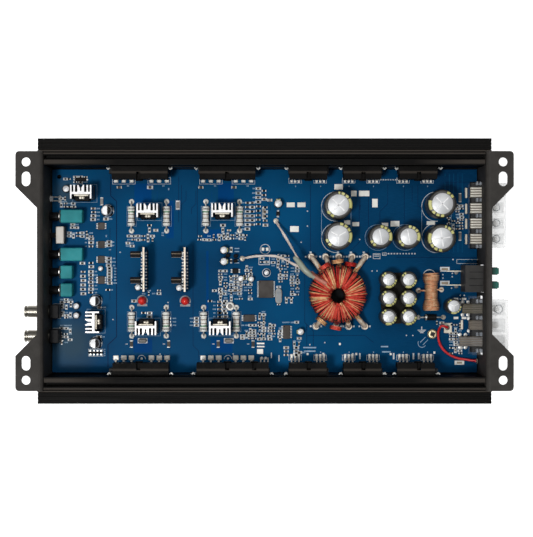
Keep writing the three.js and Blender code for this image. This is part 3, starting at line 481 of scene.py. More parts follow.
class Shape:
    """One piece in the making. Each call adds a closed body to it."""

    def __init__(self, name):
        self.name = name
        self.points, self.faces, self.paints, self.materials = [], [], [], []

    def add(self, points, faces, paint, place=None):
        base = len(self.points)
        self.points += [place @ Vector(p) if place else Vector(p) for p in points]
        self.faces += [tuple(base + i for i in face) for face in faces]
        for name in paint if isinstance(paint, list) else [paint] * len(faces):
            if name not in self.materials:
                self.materials.append(name)
            self.paints.append(self.materials.index(name))

    def box(self, at, size, paint, edge=0.0, turn=0.0):
        points, faces = box_faces(size, edge)
        place = Matrix.Translation(at) @ Matrix.Rotation(radians(turn), 4, "Z")
        self.add(points, outward(points, faces), paint, place)

    def prism(self, outline, low, high, paint, place=None):
        """An outline pushed up from one height to another."""
        count = len(outline)
        area = sum(a[0] * b[1] - b[0] * a[1] for a, b in zip(outline, outline[1:] + outline[:1]))
        ring = outline if area > 0 else outline[::-1]
        points = [(x, y, z) for z in (low, high) for x, y in ring]
        sides = [(i, (i + 1) % count, (i + 1) % count + count, i + count) for i in range(count)]
        self.add(points, [tuple(range(count))[::-1], tuple(range(count, 2 * count)), *sides], paint, place)

    def lathe(self, profile, paint, at=(0, 0, 0), steps=24, axis=(0, 0, 1), closed=False, paint_by=None):
        """A profile of (radius, height) points turned about an axis, from axis to axis or closed."""
        rows, points, faces, paints = [], [], [], []
        for radius, height in profile:
            if radius < 1e-6:
                rows.append([len(points)] * steps)
                points.append((0, 0, height))
                continue
            rows.append(list(range(len(points), len(points) + steps)))
            points += [(radius * cos(a), radius * sin(a), height) for a in
                       (2 * pi * i / steps for i in range(steps))]
        pairs = list(zip(rows, rows[1:])) + ([(rows[-1], rows[0])] if closed else [])
        for row, (lower, upper) in enumerate(pairs):
            for i in range(steps):
                j = (i + 1) % steps
                ring = list(dict.fromkeys((lower[i], lower[j], upper[j], upper[i])))
                if len(ring) > 2:
                    faces.append(tuple(ring))
                    paints.append(paint_by and paint_by(360 * (i + 0.5) / steps, row) or paint)
        turn = Vector((0, 0, 1)).rotation_difference(Vector(axis)).to_matrix().to_4x4()
        self.add(points, faces, paints, Matrix.Translation(at) @ turn)

    def skin(self, rows, paint, closed=False):
        """Joins rings of points into a tube, with flat ends unless it closes on itself."""
        sides, count = len(rows[0]), len(rows)
        last = (count - 1) * sides
        faces = [] if closed else [tuple(range(sides))[::-1], tuple(range(last, last + sides))]
        for n in range(count if closed else count - 1):
            low, high = n * sides, (n + 1) % count * sides
            for i in range(sides):
                j = (i + 1) % sides
                faces.append((low + i, low + j, high + j, high + i))
        self.add([p for row in rows for p in row], faces, paint)

    def tube(self, points, radius, paint, sides=8, steps=6):
        """A round lead along a smooth curve. radius is a number or a function of the way along."""
        path = smooth_path(points, steps) if steps else [Vector(p) for p in points]
        side = (path[1] - path[0]).normalized().orthogonal().normalized()
        rows = []
        for n, point in enumerate(path):
            ahead = (path[min(n + 1, len(path) - 1)] - path[max(n - 1, 0)]).normalized()
            side = (side - ahead * side.dot(ahead)).normalized()
            size = radius(n / (len(path) - 1)) if callable(radius) else radius
            rows.append(rim(point, side, ahead.cross(side), size, sides))
        self.skin(rows, paint)

    def loop(self, points, radius, paint, sides=6):
        """A closed ring of wire through the given points."""
        path = [Vector(p) for p in points]
        centre = sum(path, Vector()) / len(path)
        rows = []
        for n, point in enumerate(path):
            ahead = (path[(n + 1) % len(path)] - path[n - 1]).normalized()
            out = point - centre
            side = (out - ahead * out.dot(ahead)).normalized()
            rows.append(rim(point, side, ahead.cross(side), radius, sides))
        self.skin(rows, paint, closed=True)

    def finish(self, slot, *replaces, body=BODY):
        """Turns the shape into a piece that rides on a body."""
        mesh = bpy.data.meshes.new(self.name)
        mesh.from_pydata([p * METRE for p in self.points], [], self.faces)
        for name in self.materials:
            mesh.materials.append(M[name])
        mesh.polygons.foreach_set("material_index", self.paints)
        mesh.polygons.foreach_set("use_smooth", [True] * len(self.faces))
        mesh.set_sharp_from_angle(angle=radians(35))
        piece = into_scene(self.name, mesh)
        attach(piece, body)
        if replaces:
            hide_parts(*replaces)


# ------------------------------------------------------------------ CAD pieces that stay

CARRIED_OVER = [  # node, finish, width of its rounded edges
    ("heatsink_housing", "anodised", 0.18),
    ("control_end_plate", "painted", 0.2),
    ("power_end_plate", "painted", 0.2),
    ("circuit_board", "mask", 0),
    ("fuse_holder", "holder", 0.4),
    ("crossover_switch_slider", "black", 0.2),
    *((f"{wall}_transistor_row", "case", 0.15) for wall in WALLS),
    *((f"{wall}_clamp_bar_{n}", "clamp", 0.15) for wall in WALLS for n in range(1, 6)),
    *((f"{kind}_terminal_block", "clear", 0.4) for kind in TERMINALS),
    *((f"{kind}_terminal_screw_{n + 1}", "steel", 0.15)
      for kind, count in TERMINALS.items() for n in range(count)),
    *((f"{pot}_pot_shaft", "black", 0.2) for pot in POTS),
]


def dress_cad():
    """Gives the CAD nodes that stay their finishes, and rounds their edges with a modifier."""
    for node, material, edge in CARRIED_OVER:
        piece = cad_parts[node]
        piece.data.materials.clear()
        piece.data.materials.append(M[material])
        if edge:
            bevel = piece.modifiers.new("edge", "BEVEL")
            bevel.width = edge * METRE
            bevel.segments = 2
            bevel.limit_method = "ANGLE"
            bevel.angle_limit = radians(40)
            bevel.harden_normals = True


# ------------------------------------------------------------------ capacitors


def upright_can(shape, x, y, radius, height, lid, stripe, vent, spread=22):
    """A sleeved electrolytic can with a scored top. stripe is a direction in degrees."""

    def paint_by(angle, row):
        off = (angle - stripe + 180) % 360 - 180
        if row not in (4, 5, 6):
            return None
        marked = (30 < off < 88 or -165 < off < -110) and int(off / 7.5) % 3 != 0
        return "stripe" if abs(off) < spread or marked and row != 4 else None

    shoulder = (radius - lid) * 0.55
    sleeve = [
        (0, 0.3), (radius - 0.3, 0.3), (radius, 0.8), (radius, height * 0.62), (radius, height - 1.3),
        (radius - 0.35 * shoulder, height - 0.4), (radius - shoulder, height), (lid + 0.15, height - 0.05),
        (lid, height - 0.35), (0, height - 0.35),
    ]
    steps = 48
    at = (x, y, BOARD_TOP)
    shape.lathe(sleeve, "sleeve", at, steps, paint_by=paint_by)
    top = height - 0.34
    shape.lathe([(0, top), (lid - 0.1, top), (lid - 0.35, top + 0.14), (0, top + 0.16)], "can_top", at, steps)
    arms = {"cross": (45, 135), "plus": (8, 98), "bar": (100,), "Y": ()}[vent]
    reach = lid * 0.78
    wide = 0.1 * lid
    for angle in arms:
        shape.box((x, y, BOARD_TOP + top + 0.15), (2 * reach, wide, 0.12), "score", turn=angle)
    if vent == "Y":
        for angle in (30, 150, 270):
            spot = Vector((x, y, BOARD_TOP + top + 0.15)) + polar(angle, reach / 2)
            shape.box(spot, (reach, wide, 0.12), "score", turn=angle)


def make_capacitors():
    looks = {
        "reservoir_capacitor_1": (5, "cross", 7.3),
        "reservoir_capacitor_2": (-8, "Y", 7.3),
        "reservoir_capacitor_3": (188, "cross", 7.3),
        "reservoir_capacitor_4": (182, "plus", 7.3),
        "rail_capacitor_1": (0, "bar", 5.8),
        "rail_capacitor_2": (0, "bar", 5.8),
        "supply_capacitor": (-90, "Y", 4.1),
    }
    for node, (stripe, vent, lid) in looks.items():
        low, high = node_box(node)
        shape = Shape(f"{node}_can")
        at = (low + high) / 2
        upright_can(shape, at.x, at.y, (high.x - low.x) / 2, high.z - BOARD_TOP - 0.1, lid, stripe, vent)
        shape.finish("sleeve_black", node)
    bank = Shape("input_capacitor_cans")
    low, high = node_box("input_capacitor_bank")
    radius = 5.9
    for x in (low.x + radius, high.x - radius):
        for n in range(3):
            y = low.y + radius + n * (high.y - low.y - 2 * radius) / 2
            upright_can(bank, x, y, radius, high.z - BOARD_TOP - 0.1, 4.05, -90, "Y", 24)
    bank.finish("sleeve_black", "input_capacitor_bank")
    glue = Shape("bank_adhesive")
    patch = [(82, -35), (88, -36.8), (99, -36.2), (103, -30), (102, -9), (99, -1.4), (86, -1), (81, -4),
             (80.4, -12), (81, -24)]
    glue.prism(patch, BOARD_TOP + 0.05, BOARD_TOP + 4.5, "brown_glue")
    glue.finish("sleeve_black")


# ------------------------------------------------------------------ wound parts


TURNS = 150  # turns of wire on the ring core


def make_toroid():
    low, high = node_box("toroid_transformer")
    centre = Vector((50.4, -15.9, 0))
    outer, inner = 19.8, 4.9
    hole_shift = Vector((0, -1.1, 0))
    floor, top = low.z + 0.8, high.z - 0.7
    shape = Shape("toroid_windings")
    core = [(inner + 1.9, floor + 1.5), (outer - 1.2, floor + 1.5), (outer - 1.2, top - 1.6),
            (inner + 1.9, top - 1.6)]
    shape.lathe(core, "ferrite", centre, 48, closed=True)
    shape.lathe([(0, 0.1), (8, 0.1), (8, 0.3), (0, 0.3)], "epoxy", centre + Vector((0, 0, BOARD_TOP)), 40)
    for n in range(TURNS):
        angle = 2 * pi * n / TURNS + dice.uniform(-0.01, 0.01)
        bearing = degrees(angle) % 360
        amber = any(a < bearing < b for a, b in AMBER_SECTORS)
        # Turns are red, red with a painted highlight, or amber.
        usual = ("red_wire", "red_wire", "salmon_wire", "salmon_wire", "salmon_wire", "amber_wire")
        paint = dice.choice(("amber_wire", "salmon_wire") if amber else usual)
        out = Vector((cos(angle), sin(angle), 0))
        lay = dice.uniform(-0.7, 0.5)
        reach = outer + dice.uniform(-0.6, 0.3)
        depth = inner + dice.uniform(-0.3, 1.4)
        skew = out.orthogonal().normalized() * dice.uniform(-1.3, 1.3)
        section = [
            (reach - 1.4, floor), (reach, floor + 2.2), (reach, top - 4.2), (reach - 0.9, top - 1.9 + lay),
            (reach - 3.2, top - 0.5 + lay), ((reach + depth) / 2, top + lay * 0.7),
            (depth + 2.4, top - 0.2 + lay), (depth + 0.6, top - 1.6), (depth, top - 4.5),
            (depth, floor + 3), (depth + 1.4, floor),
        ]
        points = []
        for r, z in section:
            inward = (reach - r) / (reach - depth)
            leaned = skew * (r - depth) / 14 + hole_shift * inward
            points.append(centre + out * r + leaned + Vector((0, 0, z)))
        shape.loop(points, dice.uniform(0.34, 0.42), paint, 6)
    shape.finish("winding_red", "toroid_transformer")
    wires = Shape("toroid_lead_ends")
    for n, x in enumerate((32.4, 42.4, 51.6, 60.9, 70.1)):
        lead_end(wires, centre, x, 10.0, "red_wire" if n in (1, 3) else "amber_wire")
    for n, x in enumerate((35.8, 49.6, 58.6, 69.8)):
        lead_end(wires, centre, x, -38.6, "red_wire" if n == 1 else "amber_wire")
    for x, y, turn, paint in WINDING_BIGHTS:
        along = polar(turn)
        for side in (-0.9, 0, 0.9):
            across = Vector((-along.y, along.x, 0)) * side
            path = [Vector((x, y, top - 3 + rise)) + along * step + across
                    for step, rise in ((-4, -5), (-3, -1.5), (0, 0), (3, -1.5), (4, -5))]
            wires.tube(path, 0.48, paint, 8, 4)
    wires.finish("winding_red")
    glue = Shape("toroid_glue")
    bead = [(32.2, -1.2, top - 3.5), (34.6, -3.4, top - 0.6), (38.2, -6.2, top + 0.2),
            (42.2, -8.8, top + 0.1)]
    glue.tube(bead, 1.5, "glue", 12, 6)
    glue.finish("lead_white")


AMBER_SECTORS = ((108, 128), (60, 74), (5, 24), (236, 262), (282, 304), (188, 196), (340, 348))
WINDING_BIGHTS = (
    (41.2, 3.2, 35, "salmon_wire"),
    (50.4, 6.6, 8, "amber_wire"),
    (59.3, 4.6, -8, "red_wire"),
    (49.0, -39.2, -10, "salmon_wire"),
    (39.2, -34.6, -38, "amber_wire"),
)


def lead_end(shape, centre, x, y, paint):
    """A thick tinned winding end that leaves the ring and goes down into its pad."""
    pad = Vector((x, y, BOARD_TOP + 0.2))
    towards = pad - centre
    towards.z = 0
    out = towards.normalized()
    start = centre + out * 16.5 + Vector((0, 0, BOARD_TOP + 16))
    rise = centre + out * 19.5 + Vector((0, 0, BOARD_TOP + 13.5))
    drop = Vector((x, y, BOARD_TOP + 5))
    side = out.orthogonal().normalized() * 0.85
    for shift, colour in ((-1, paint), (1, "salmon_wire" if paint == "red_wire" else "amber_wire")):
        shape.tube([start + side * shift, rise + side * shift, drop + side * shift * 0.6], 0.95, colour, 8, 5)
    bend = centre + out * 21.2 + Vector((0, 0, BOARD_TOP + 11))
    sag = (bend + drop) / 2 + Vector((0, 0, 1))
    shape.tube([bend, sag, drop, pad], lambda t: 1.75 - 0.1 * t, "tinned_end", 12, 4)
    shape.lathe([(0, 0), (2.5, 0), (2.3, 0.5), (1.5, 1.3), (0, 1.4)], "pad_solder", (x, y, BOARD_TOP), 20)
    collar = [(1.1, 5.6), (1.9, 5.6), (1.9, 6.6), (1.1, 6.6)]
    shape.lathe(collar, "tinned_end", (x, y, BOARD_TOP), 20, closed=True)
    for n in (-1, 1):
        shape.box((x + n * 3.6, y, BOARD_TOP + 0.05), (1.2, 1.2, 0.1), "print")


CHOKE_PITCH = 0.95  # from one turn of the choke to the next


def make_choke():
    low, high = node_box("rod_choke")
    at = (low + high) / 2
    at.x += 0.4
    length = high.y - low.y - 0.8
    centre_y = low.y + length / 2
    shape = Shape("choke_winding")
    shape.lathe([(0, 0.6), (3.4, 0.6), (3.4, length - 0.6), (0, length - 0.6)], "ferrite",
                (at.x, low.y, at.z), 24, (0, 1, 0))
    count = int(length / CHOKE_PITCH)
    for n in range(count):
        y = low.y + 0.5 + n * (length - 1.0) / (count - 1)
        off = abs(y - centre_y) / (length / 2)
        reach = 4.2 + 1.35 * max(0.0, min(1.0, (off - 0.42) / 0.28))
        reach -= 0.5 * max(0.0, (off - 0.9) / 0.1)
        reach += dice.uniform(-0.12, 0.12)
        lean = dice.uniform(-0.2, 0.3)
        points = [(at.x + reach * cos(a), y + lean * cos(a), at.z + reach * sin(a))
                  for a in (2 * pi * k / 20 for k in range(20))]
        shape.loop(points, 0.5, "copper_wire", 6)
    for side, y in ((-1, -13.6), (1, -13.0)):
        end = (at.x + side * 8.0, y, BOARD_TOP + 0.2)
        shape.tube([(at.x + side * 3.5, y, at.z + 1.5), (at.x + side * 7.4, y, at.z - 0.5), end], 0.55,
                   "copper_wire", 8, 5)
        shape.lathe([(0, 0), (1.9, 0), (1.6, 0.5), (0, 0.9)], "tinned_end", (end[0], y, BOARD_TOP), 16)
    shape.finish("winding_copper", "rod_choke")


# ------------------------------------------------------------------ heatsinks and driver boards


def make_comb(node, turn):
    """A bright comb heatsink with a split middle fin and the transistor screwed to its front."""
    low, high = node_box(node)
    at = (low + high) / 2
    aside, ahead = {0: (0, -0.2), 90: (0.2, 0), 180: (0, 0.2)}[turn]
    place = standing(at.x + aside, at.y + ahead, turn)
    half, floor, top = 7.3, BOARD_TOP + 0.4, high.z
    fin, tip, web = 1.05, 4.9, 0.2
    right = [(half, -4.4), (half, tip), (half - fin, tip), (half - fin, web), (5.0, web), (5.0, tip),
             (5.0 - fin, tip), (5.0 - fin, web), (2.3, web), (2.3, tip), (1.6, tip), (0.5, 2.9), (0.5, 0.9)]
    left = [(-x, y) for x, y in reversed(right)]
    outline = [*right, *left, (-half + 1, -4.4), (-half + 1, -1.4), (half - 1, -1.4), (half - 1, -4.4)]
    comb = Shape(f"{node}_comb")
    comb.prism(outline, floor, top, "comb", place)

    def put(spot, size, paint, edge=0.15):
        comb.box(place @ Vector(spot), size, paint, edge, turn)

    for side in (-1, 1):
        put((side * 3.25, -3.7, floor + 8.5), (3.5, 4, 9.4), "epoxy", 0.4)
    put((0, -3.9, floor + 8.0), (3.2, 3.4, 9.4), "epoxy", 0.3)
    put((0, -2.0, floor + 15), (9.8, 1.1, 5), "cream_metal")
    for x in (-2.54, 0, 2.54):
        put((x, -3.6, floor + 1.9), (0.8, 0.6, 4), "tin")
    for x in (-0.85, 0.85):
        comb.lathe([(0, -3), (1.15, -3), (1.15, 0.1), (0.7, 0.7), (0, 0.8)], "cream_metal",
                   place @ Vector((x, -3.5, floor + 14.6)), 14)
    comb.finish("bare_aluminium", node)


def make_driver_board(node):
    low, high = node_box(node)
    x = high.x - 0.9
    height = high.z
    wide, middle_y = high.y - low.y, (high.y + low.y) / 2
    shape = Shape(f"{node}_card")
    foot = BOARD_TOP + 2.6
    shape.box((x, middle_y, (foot + height) / 2), (1.5, wide, height - foot), "mask", 0.1)
    shape.box((x - 0.1, middle_y, height + 0.02), (1.3, wide - 0.3, 0.3), "tinned_end", 0.1)
    for n in range(int((wide - 4) / 2.2)):
        y = low.y + 2.5 + 2.2 * n
        shape.lathe([(0, 0), (0.7, 0), (0.5, 0.6), (0, 0.8)], "solder", (x - 1.9, y, height - 6), 10)
        shape.box((x - 1.1, y, height - 8), (0.9, 1.1, 4.2), "tin", 0.2)
        shape.box((x - 1.1, y, height - 13), (0.8, 1.3, 2.0), "chip", 0.2)
        shape.box((x + 1.4, y, height - 2.4), (1.4, 0.9, 1.6), "print_grey", 0.2)
        shape.box((x, y, BOARD_TOP + 1.4), (0.7, 0.7, 2.6), "tin", 0.1)
    shape.box((x, middle_y, foot), (2.4, wide - 3.4, 2.2), "black", 0.2)
    for y in (11.6, -6.1):
        for side in (-1, 0, 1):
            shape.box((x - 1.6, y + side * 1.25, height - 5.8), (1.8, 0.5, 0.4), "tin", 0.1)
        shape.box((x - 6.1, y, height - 6), (7.2, 4.0, 3.6), "epoxy", 0.4)
        shape.box((x - 6.1, y + 0.2, height - 4.1), (6.6, 0.4, 0.3), "tan", 0.1)
        shape.box((x - 6.1, y - 2.2, height - 6.2), (6.6, 0.4, 0.3), "grey_part", 0.1)
    shape.finish("board_blue", node)


# ------------------------------------------------------------------ control end


def make_pot(node):
    low, high = node_box(node)
    front = low.x + 0.7
    at = (low + high) / 2
    width = high.y - low.y
    shape = Shape(f"{node}_body")
    long, tall = high.x - front - 1.0, high.z - BOARD_TOP
    high_up = BOARD_TOP + tall / 2
    shape.box((front + 0.5 + long / 2, at.y, high_up), (long - 0.8, width, tall - 1.2), "teal", 0.5)
    shape.box((front + 0.6, at.y, high_up), (1.0, width - 0.6, tall - 1.4), "dark_band", 0.25)
    shape.box((front - 0.1, at.y, high.z - 1.6), (0.9, 2.2, 1.2), "tin", 0.2)
    for y in (-2.5, 0, 2.5):
        shape.box((high.x - 1.4, at.y + y, BOARD_TOP + 0.7), (0.6, 0.7, 1.4), "tin")
    collar = [(1.75, -0.7), (2.7, -0.7), (2.7, 0.5), (1.75, 0.5)]
    shape.lathe(collar, "dark_metal", (front, at.y, 26.5), 20, (1, 0, 0), closed=True)
    shape.finish("pot_teal", node)


def make_switch():
    low, high = node_box("crossover_switch")
    low.y, high.y = low.y + 0.4, high.y - 0.4
    at = (low + high) / 2
    shape = Shape("crossover_switch_case")
    size = high - low
    thick = 1.0
    shape.box((high.x - 1.6, at.y, at.z), (2.4, size.y, size.z), "white", 0.4)
    # A dark strip along the face towards the board: painted shade on that side.
    shape.box((high.x - 0.2, at.y, at.z - 0.6), (0.8, size.y, size.z - 1.2), "dark_band", 0.2)
    for z in (low.z + 1.6, high.z - 1.6):
        shape.box((at.x - 0.9, at.y, z), (size.x - 1.8, size.y, 3.0), "white", 0.4)
    for y in (low.y + thick, high.y - thick):
        shape.box((at.x - 0.9, y, at.z), (size.x - 1.8, 2 * thick, size.z - 0.4), "white", 0.3)
    shape.finish("switch_white", "crossover_switch")


JACK_ROOT = Vector((-149, 0, 28))  # where the axes of the jacks leave their bases


def make_jack(node):
    low, high = node_box(node)
    at = (low + high) / 2
    tip = low.x
    shape = Shape(f"{node}_shell")
    base = high.x - 6.8
    shape.box((base + 3.4, at.y, BOARD_TOP + 6.9), (6.7, 9.6, 13.0), "black", 0.5)
    for side in (-1, 1):
        shape.box((base + 3.6, at.y + side * 5.1, BOARD_TOP + 0.1), (5.4, 0.4, 0.1), "print_grey")
    ring = 4.15
    length = JACK_ROOT.x - tip
    profile = [(0, -1.5), (ring - 0.2, -1.5), (ring - 0.2, 0.6), (ring, 0.8)]
    for n in range(3):
        start = 2.0 + n
        groove = ring - 0.16
        profile += [(ring, start), (groove, start + 0.2), (groove, start + 0.5), (ring, start + 0.7)]
    profile += [(ring, length - 2.6), (ring - 0.5, length - 2.2), (ring - 0.5, length - 1.6),
                (ring, length - 1.2), (ring, length - 0.4), (ring - 0.4, length), (ring - 0.9, length),
                (ring - 0.9, 3.0), (0, 3.0)]
    shape.lathe(profile, "nickel", (JACK_ROOT.x, at.y, JACK_ROOT.z), 40, (-1, 0, 0))
    shape.lathe([(0, 2.8), (2.9, 2.8), (2.9, length - 3), (1.5, length - 3.2), (1.5, 5), (0, 5)], "white",
                (JACK_ROOT.x, at.y, JACK_ROOT.z), 24, (-1, 0, 0))
    shape.box((high.x + 0.2, at.y - 3.4, BOARD_TOP + 0.8), (2.6, 0.8, 1.4), "tin", 0.2)
    shape.finish("nickel", node)


def make_power_led():
    shape = Shape("power_led")
    x, y, z = -149.6, 50.1, 24.5
    dome = [(0, -2.4), (2.0, -2.4), (2.0, 1.0), *[(r, h + 1) for r, h in arc((0, 0), 1.9, 0, 90, 6)]]
    shape.lathe([(r if abs(r) > 1e-3 else 0, h) for r, h in dome], "clear_lens", (x, y, z), 20, (-1, 0, 0))
    for side in (-1.27, 1.27):
        lead = y + side
        shape.tube([(x + 2.2, lead, z), (x + 4, lead, z - 0.1), (x + 6, lead, z - 0.9),
                    (x + 6.6, lead, BOARD_TOP + 0.2)], 0.4, "tin", 8)
        shape.lathe([(0, 0), (1.3, 0), (1, 0.4), (0, 0.8)], "solder", (x + 6.6, lead, BOARD_TOP), 14)
    shape.finish("nickel")


# ------------------------------------------------------------------ power end


def make_fuse(node, body):
    low, high = node_box(node)
    at = (low + high) / 2
    shape = Shape(f"{node}_link")
    half = (high.z - low.z) / 2
    head = [(0, -half + 1.4), (6, -half + 1.4), (7, -half), (10.8, -half), (11.4, -half + 0.6),
            (11.4, half - 0.6), (10.8, half), (7, half), (6, half - 1.4), (0, half - 1.4)]
    front = high.x - 11.4
    place = Matrix.Translation((front, at.y, at.z)) @ Matrix.Rotation(pi / 2, 4, "X")
    shape.prism(head, -2.0, 2.0, "fuse", place)
    for side in (-1, 1):
        shape.box((front + 9, at.y + side * 2.2, at.z), (3.6, 0.8, 2 * half - 4), "fuse", 0.3)
        shape.box((front - 3.4, at.y, at.z + side * 5.6), (7.6, 0.8, 5.2), "tin", 0.15)
        shape.box((front + 4, at.y, at.z + side * 5.6), (7, 0.7, 4), "tin", 0.1)
    shape.finish("fuse_green", node, body=body)


def make_fuse_leads():
    shape = Shape("fuse_holder_leads")
    for y in (0.3, -9.4):
        shape.box((125.8, y + 0.9, BOARD_TOP + 0.06), (6.6, 3.2, 0.12), "print")
        shape.box((125.8, y + 0.9, BOARD_TOP + 0.2), (4.6, 1.7, 0.3), "tan", 0.1)
        shape.box((132.4, y - 0.4, BOARD_TOP + 1.6), (11.4, 0.8, 1.2), "contact", 0.2)
        shape.lathe([(0, 0), (1.5, 0), (1.2, 0.8), (0, 1.0)], "grey_part", (133.8, y - 1.3, BOARD_TOP), 18)
    low, high = node_box("fuse_holder")
    for y in (low.y + 4.6, (low.y + high.y) / 2, high.y - 4.6):
        shape.box(((low.x + high.x) / 2 + 1, y, high.z + 0.02), (high.x - low.x - 3.4, 0.35, 0.3), "black")
    shape.finish("holder_grey")


RIBS = 4  # ridges on top of each contact


def make_contacts():
    """Sprung contacts in the two terminal blocks: a tinned leg on the board and a ridged cage."""
    for kind, rows in (("speaker", (22.2, 32.9, 43.4, 54.5)), ("power", (-26.1, -37.5, -48.9))):
        speaker = kind == "speaker"
        shape = Shape(f"{kind}_contacts")
        for n, y in enumerate(rows):
            width = 7.2 if speaker else 6.6
            start = 142.0 if speaker else (137.0, 141.5, 135.2)[n]
            end = 153.4 if speaker else 151.2
            top = 31.0 if speaker else 27.5
            paint = "contact" if speaker else ("olive_metal", "contact_dark", "grey_part")[n]
            mid = (start + end) / 2
            for k in range(RIBS):
                rib = y - width / 2 + (k + 0.5) * width / RIBS
                shape.box((mid, rib, top - 0.5), (end - start, width / RIBS * 0.56, 1.0), paint, 0.3)
            # The dark slab under the ridges shows between them: painted shade in the grooves.
            shape.box((mid, y, top - 1.6), (end - start - 0.2, width, 1.6), "contact_dark", 0.2)
            for side in (-1, 1):
                shape.box((mid, y + side * (width / 2 - 0.3), (top + BOARD_TOP) / 2 - 0.6),
                          (end - start - 0.6, 0.7, top - BOARD_TOP - 2), "contact_dark", 0.2)
            strip = 141.6 if speaker else (135.4, 138.6, 135.2)[n]
            if n < 2 or speaker:
                shape.box((strip - 1.0, y, BOARD_TOP + 0.7), (1.6, width, 1.3), "cream_metal", 0.3)
            if not speaker:
                for side in (-1, 1):
                    for x in (start + 1.2, start + 5.0):
                        shape.lathe([(0, 0), (1.5, 0), (1.2, 0.6), (0, 0.9)], "solder",
                                    (x, y + side * 4.3, BOARD_TOP), 16)
        gaps = (60.5, 49, 38.2, 27.5, 17) if speaker else (-20.8, -32.2, -43.6, -55.0)
        for y in gaps:
            shape.box((146.6, y, 31.2), (1.5, 2.6, 3.4), "partition", 0.3)
            shape.box((149.3, y, 31.2), (2.4, 2.4, 3.0), "partition", 0.3)
        middle_y = (gaps[0] + gaps[-1]) / 2
        shape.box((147.6, middle_y, BOARD_TOP + 0.9), (9, gaps[0] - gaps[-1] + 3, 1.2), "black", 0.3)
        shape.finish("clear_plastic")
        rims = Shape(f"{kind}_screw_rims")
        for n in range(4 if speaker else 1):
            low, high = node_box(f"{kind}_terminal_screw_{n + 1}")
            at = (low + high) / 2
            radius = (high.x - low.x) / 2
            rims.lathe([(radius + 0.25, 0), (radius + 0.7, 0), (radius + 0.7, 0.25), (radius + 0.25, 0.25)],
                       "print_grey", (at.x, at.y, node_box(f"{kind}_terminal_block")[1].z), 28, closed=True)
        rims.finish("clear_plastic")


# ------------------------------------------------------------------ leads


LINK_LEAD = [(127.4, -39.4, 23.6), (126.2, -38.9, 26.2), (122.6, -38.2, 26.6), (120.6, -42.4, 24.6),
             (121.4, -49.2, 23.2), (124.2, -54.4, 22.6), (128.4, -58.1, 22.4), (134.6, -60.8, 22.4),
             (141, -61.8, 23), (147.4, -62.6, 24)]
LONG_LEAD = [(-15.6, 8.6, 21.6), (-12.5, 9.2, 24), (-5.3, 10.3, 27), (5.8, 10.4, 31), (12.7, 8.5, 35),
             (20, 4.6, 40), (26.4, 1.8, 43.4)]
SHORT_LEAD = [(7.9, 34.9, 21.6), (9.6, 31.6, 25), (14, 24.1, 30.6), (20, 13.5, 38.4), (22.9, 7.9, 42),
              (27, 2.6, 43.6)]


def make_leads():
    link = Shape("link_lead_jacket")
    link.tube(LINK_LEAD, 0.82, "red_jacket", 14, 8)
    link.box((127.9, -39.8, BOARD_TOP + 0.3), (5.6, 7, 0.5), "cream_metal", 0.2)
    link.tube([(127.4, -39.4, 23.8), (127.6, -39.6, BOARD_TOP + 0.4)], 0.8, "dark_metal", 10, 0)
    link.lathe([(0, 0), (1.8, 0), (1.3, 0.9), (0, 1.2)], "dark_metal", (127.6, -39.6, BOARD_TOP + 0.4), 16)
    link.box((147.6, -62.6, 23.6), (1.2, 3.4, 3.4), "dark_metal", 0.3)
    link.finish("lead_red", "red_link_lead")
    sensor = Shape("sensor_lead_pair")
    for path in (LONG_LEAD, SHORT_LEAD):
        for side in (-0.42, 0.42):
            points = [Vector(p) + Vector((side * sin(n * 1.9), side * cos(n * 1.9), 0))
                      for n, p in enumerate(path)]
            sensor.tube(points, 0.55, "white_jacket", 10, 6)
        x, y, _ = path[0]
        sensor.tube([(x, y, 22), (x, y, BOARD_TOP + 0.3)], 0.5, "tin", 8, 0)
        sensor.lathe([(0, 0), (1.9, 0), (1.7, 0.7), (0, 1.3)], "cream_metal", (x, y, BOARD_TOP), 18)
    sleeve = [(20.4, 9.4, 40.4), (23.2, 6.4, 42), (27, 1.2, 43.4), (31, -2.6, 43.6), (34, -4.6, 43.4)]
    sensor.tube(sleeve, lambda t: 1.3 + 0.8 * sin(pi * min(1, t * 1.1)), "sleeve_clear", 14, 6)
    sensor.tube([(32, -2.6, 43.4), (35.4, -4.8, 43.2), (38.2, -6.6, 42.6)], 1.2, "glue", 12, 6)
    sensor.finish("lead_white", "sensor_leads")


# ------------------------------------------------------------------ parts that stand only in the looks


def flat(shape, x, y, size, paint, turn=0.0, thick=0.08):
    """A thin printed or tinned patch on the board."""
    shape.box((x, y, BOARD_TOP + thick / 2), (*size, thick), paint, 0, turn)


def several(helper, shape, *rows):
    """Calls a helper with the shape once for every row of values."""
    for row in rows:
        helper(shape, *row)


def chip(shape, x, y, turn=0, length=2.3, width=1.4, body="black", halo=None):
    """A two-ended surface part with its solder fillets, now and then inside a printed frame."""
    place = standing(x, y, turn)
    for side in (-1, 1):
        at = place @ Vector((side * (length / 2 + 0.1), 0, SEAT + 0.2))
        shape.box(at, (0.75, width + 0.1, 0.45), "solder", 0.2, turn)
    shape.box(place @ Vector((0, 0, SEAT + 0.32)), (length - 0.5, width, 0.55), body, 0.08, turn)
    if halo if halo is not None else dice.random() < 0.6:
        flat(shape, x, y, (length + 1.6, width + 0.6), "print", turn, 0.05)


def label(shape, x, y, turn=0, letters=2):
    """Short printed bars where a part's designation would stand."""
    place = standing(x, y, turn)
    for n in range(letters):
        at = place @ Vector(((n - (letters - 1) / 2) * 0.85, 0, BOARD_TOP + 0.03))
        shape.box(at, (0.55, 0.9, 0.06), "print_blue", 0, turn)


def column(shape, x, y, count, step, tag=0.0):
    """Surface parts one below another, with their labels to one side."""
    for n in range(count):
        body = dice.choice(("black", "dark_part", "tan_dark", "chip"))
        chip(shape, x + dice.uniform(-0.15, 0.15), y - n * step, body=body)
        if tag:
            label(shape, x + tag, y - n * step, letters=dice.choice((2, 3)))


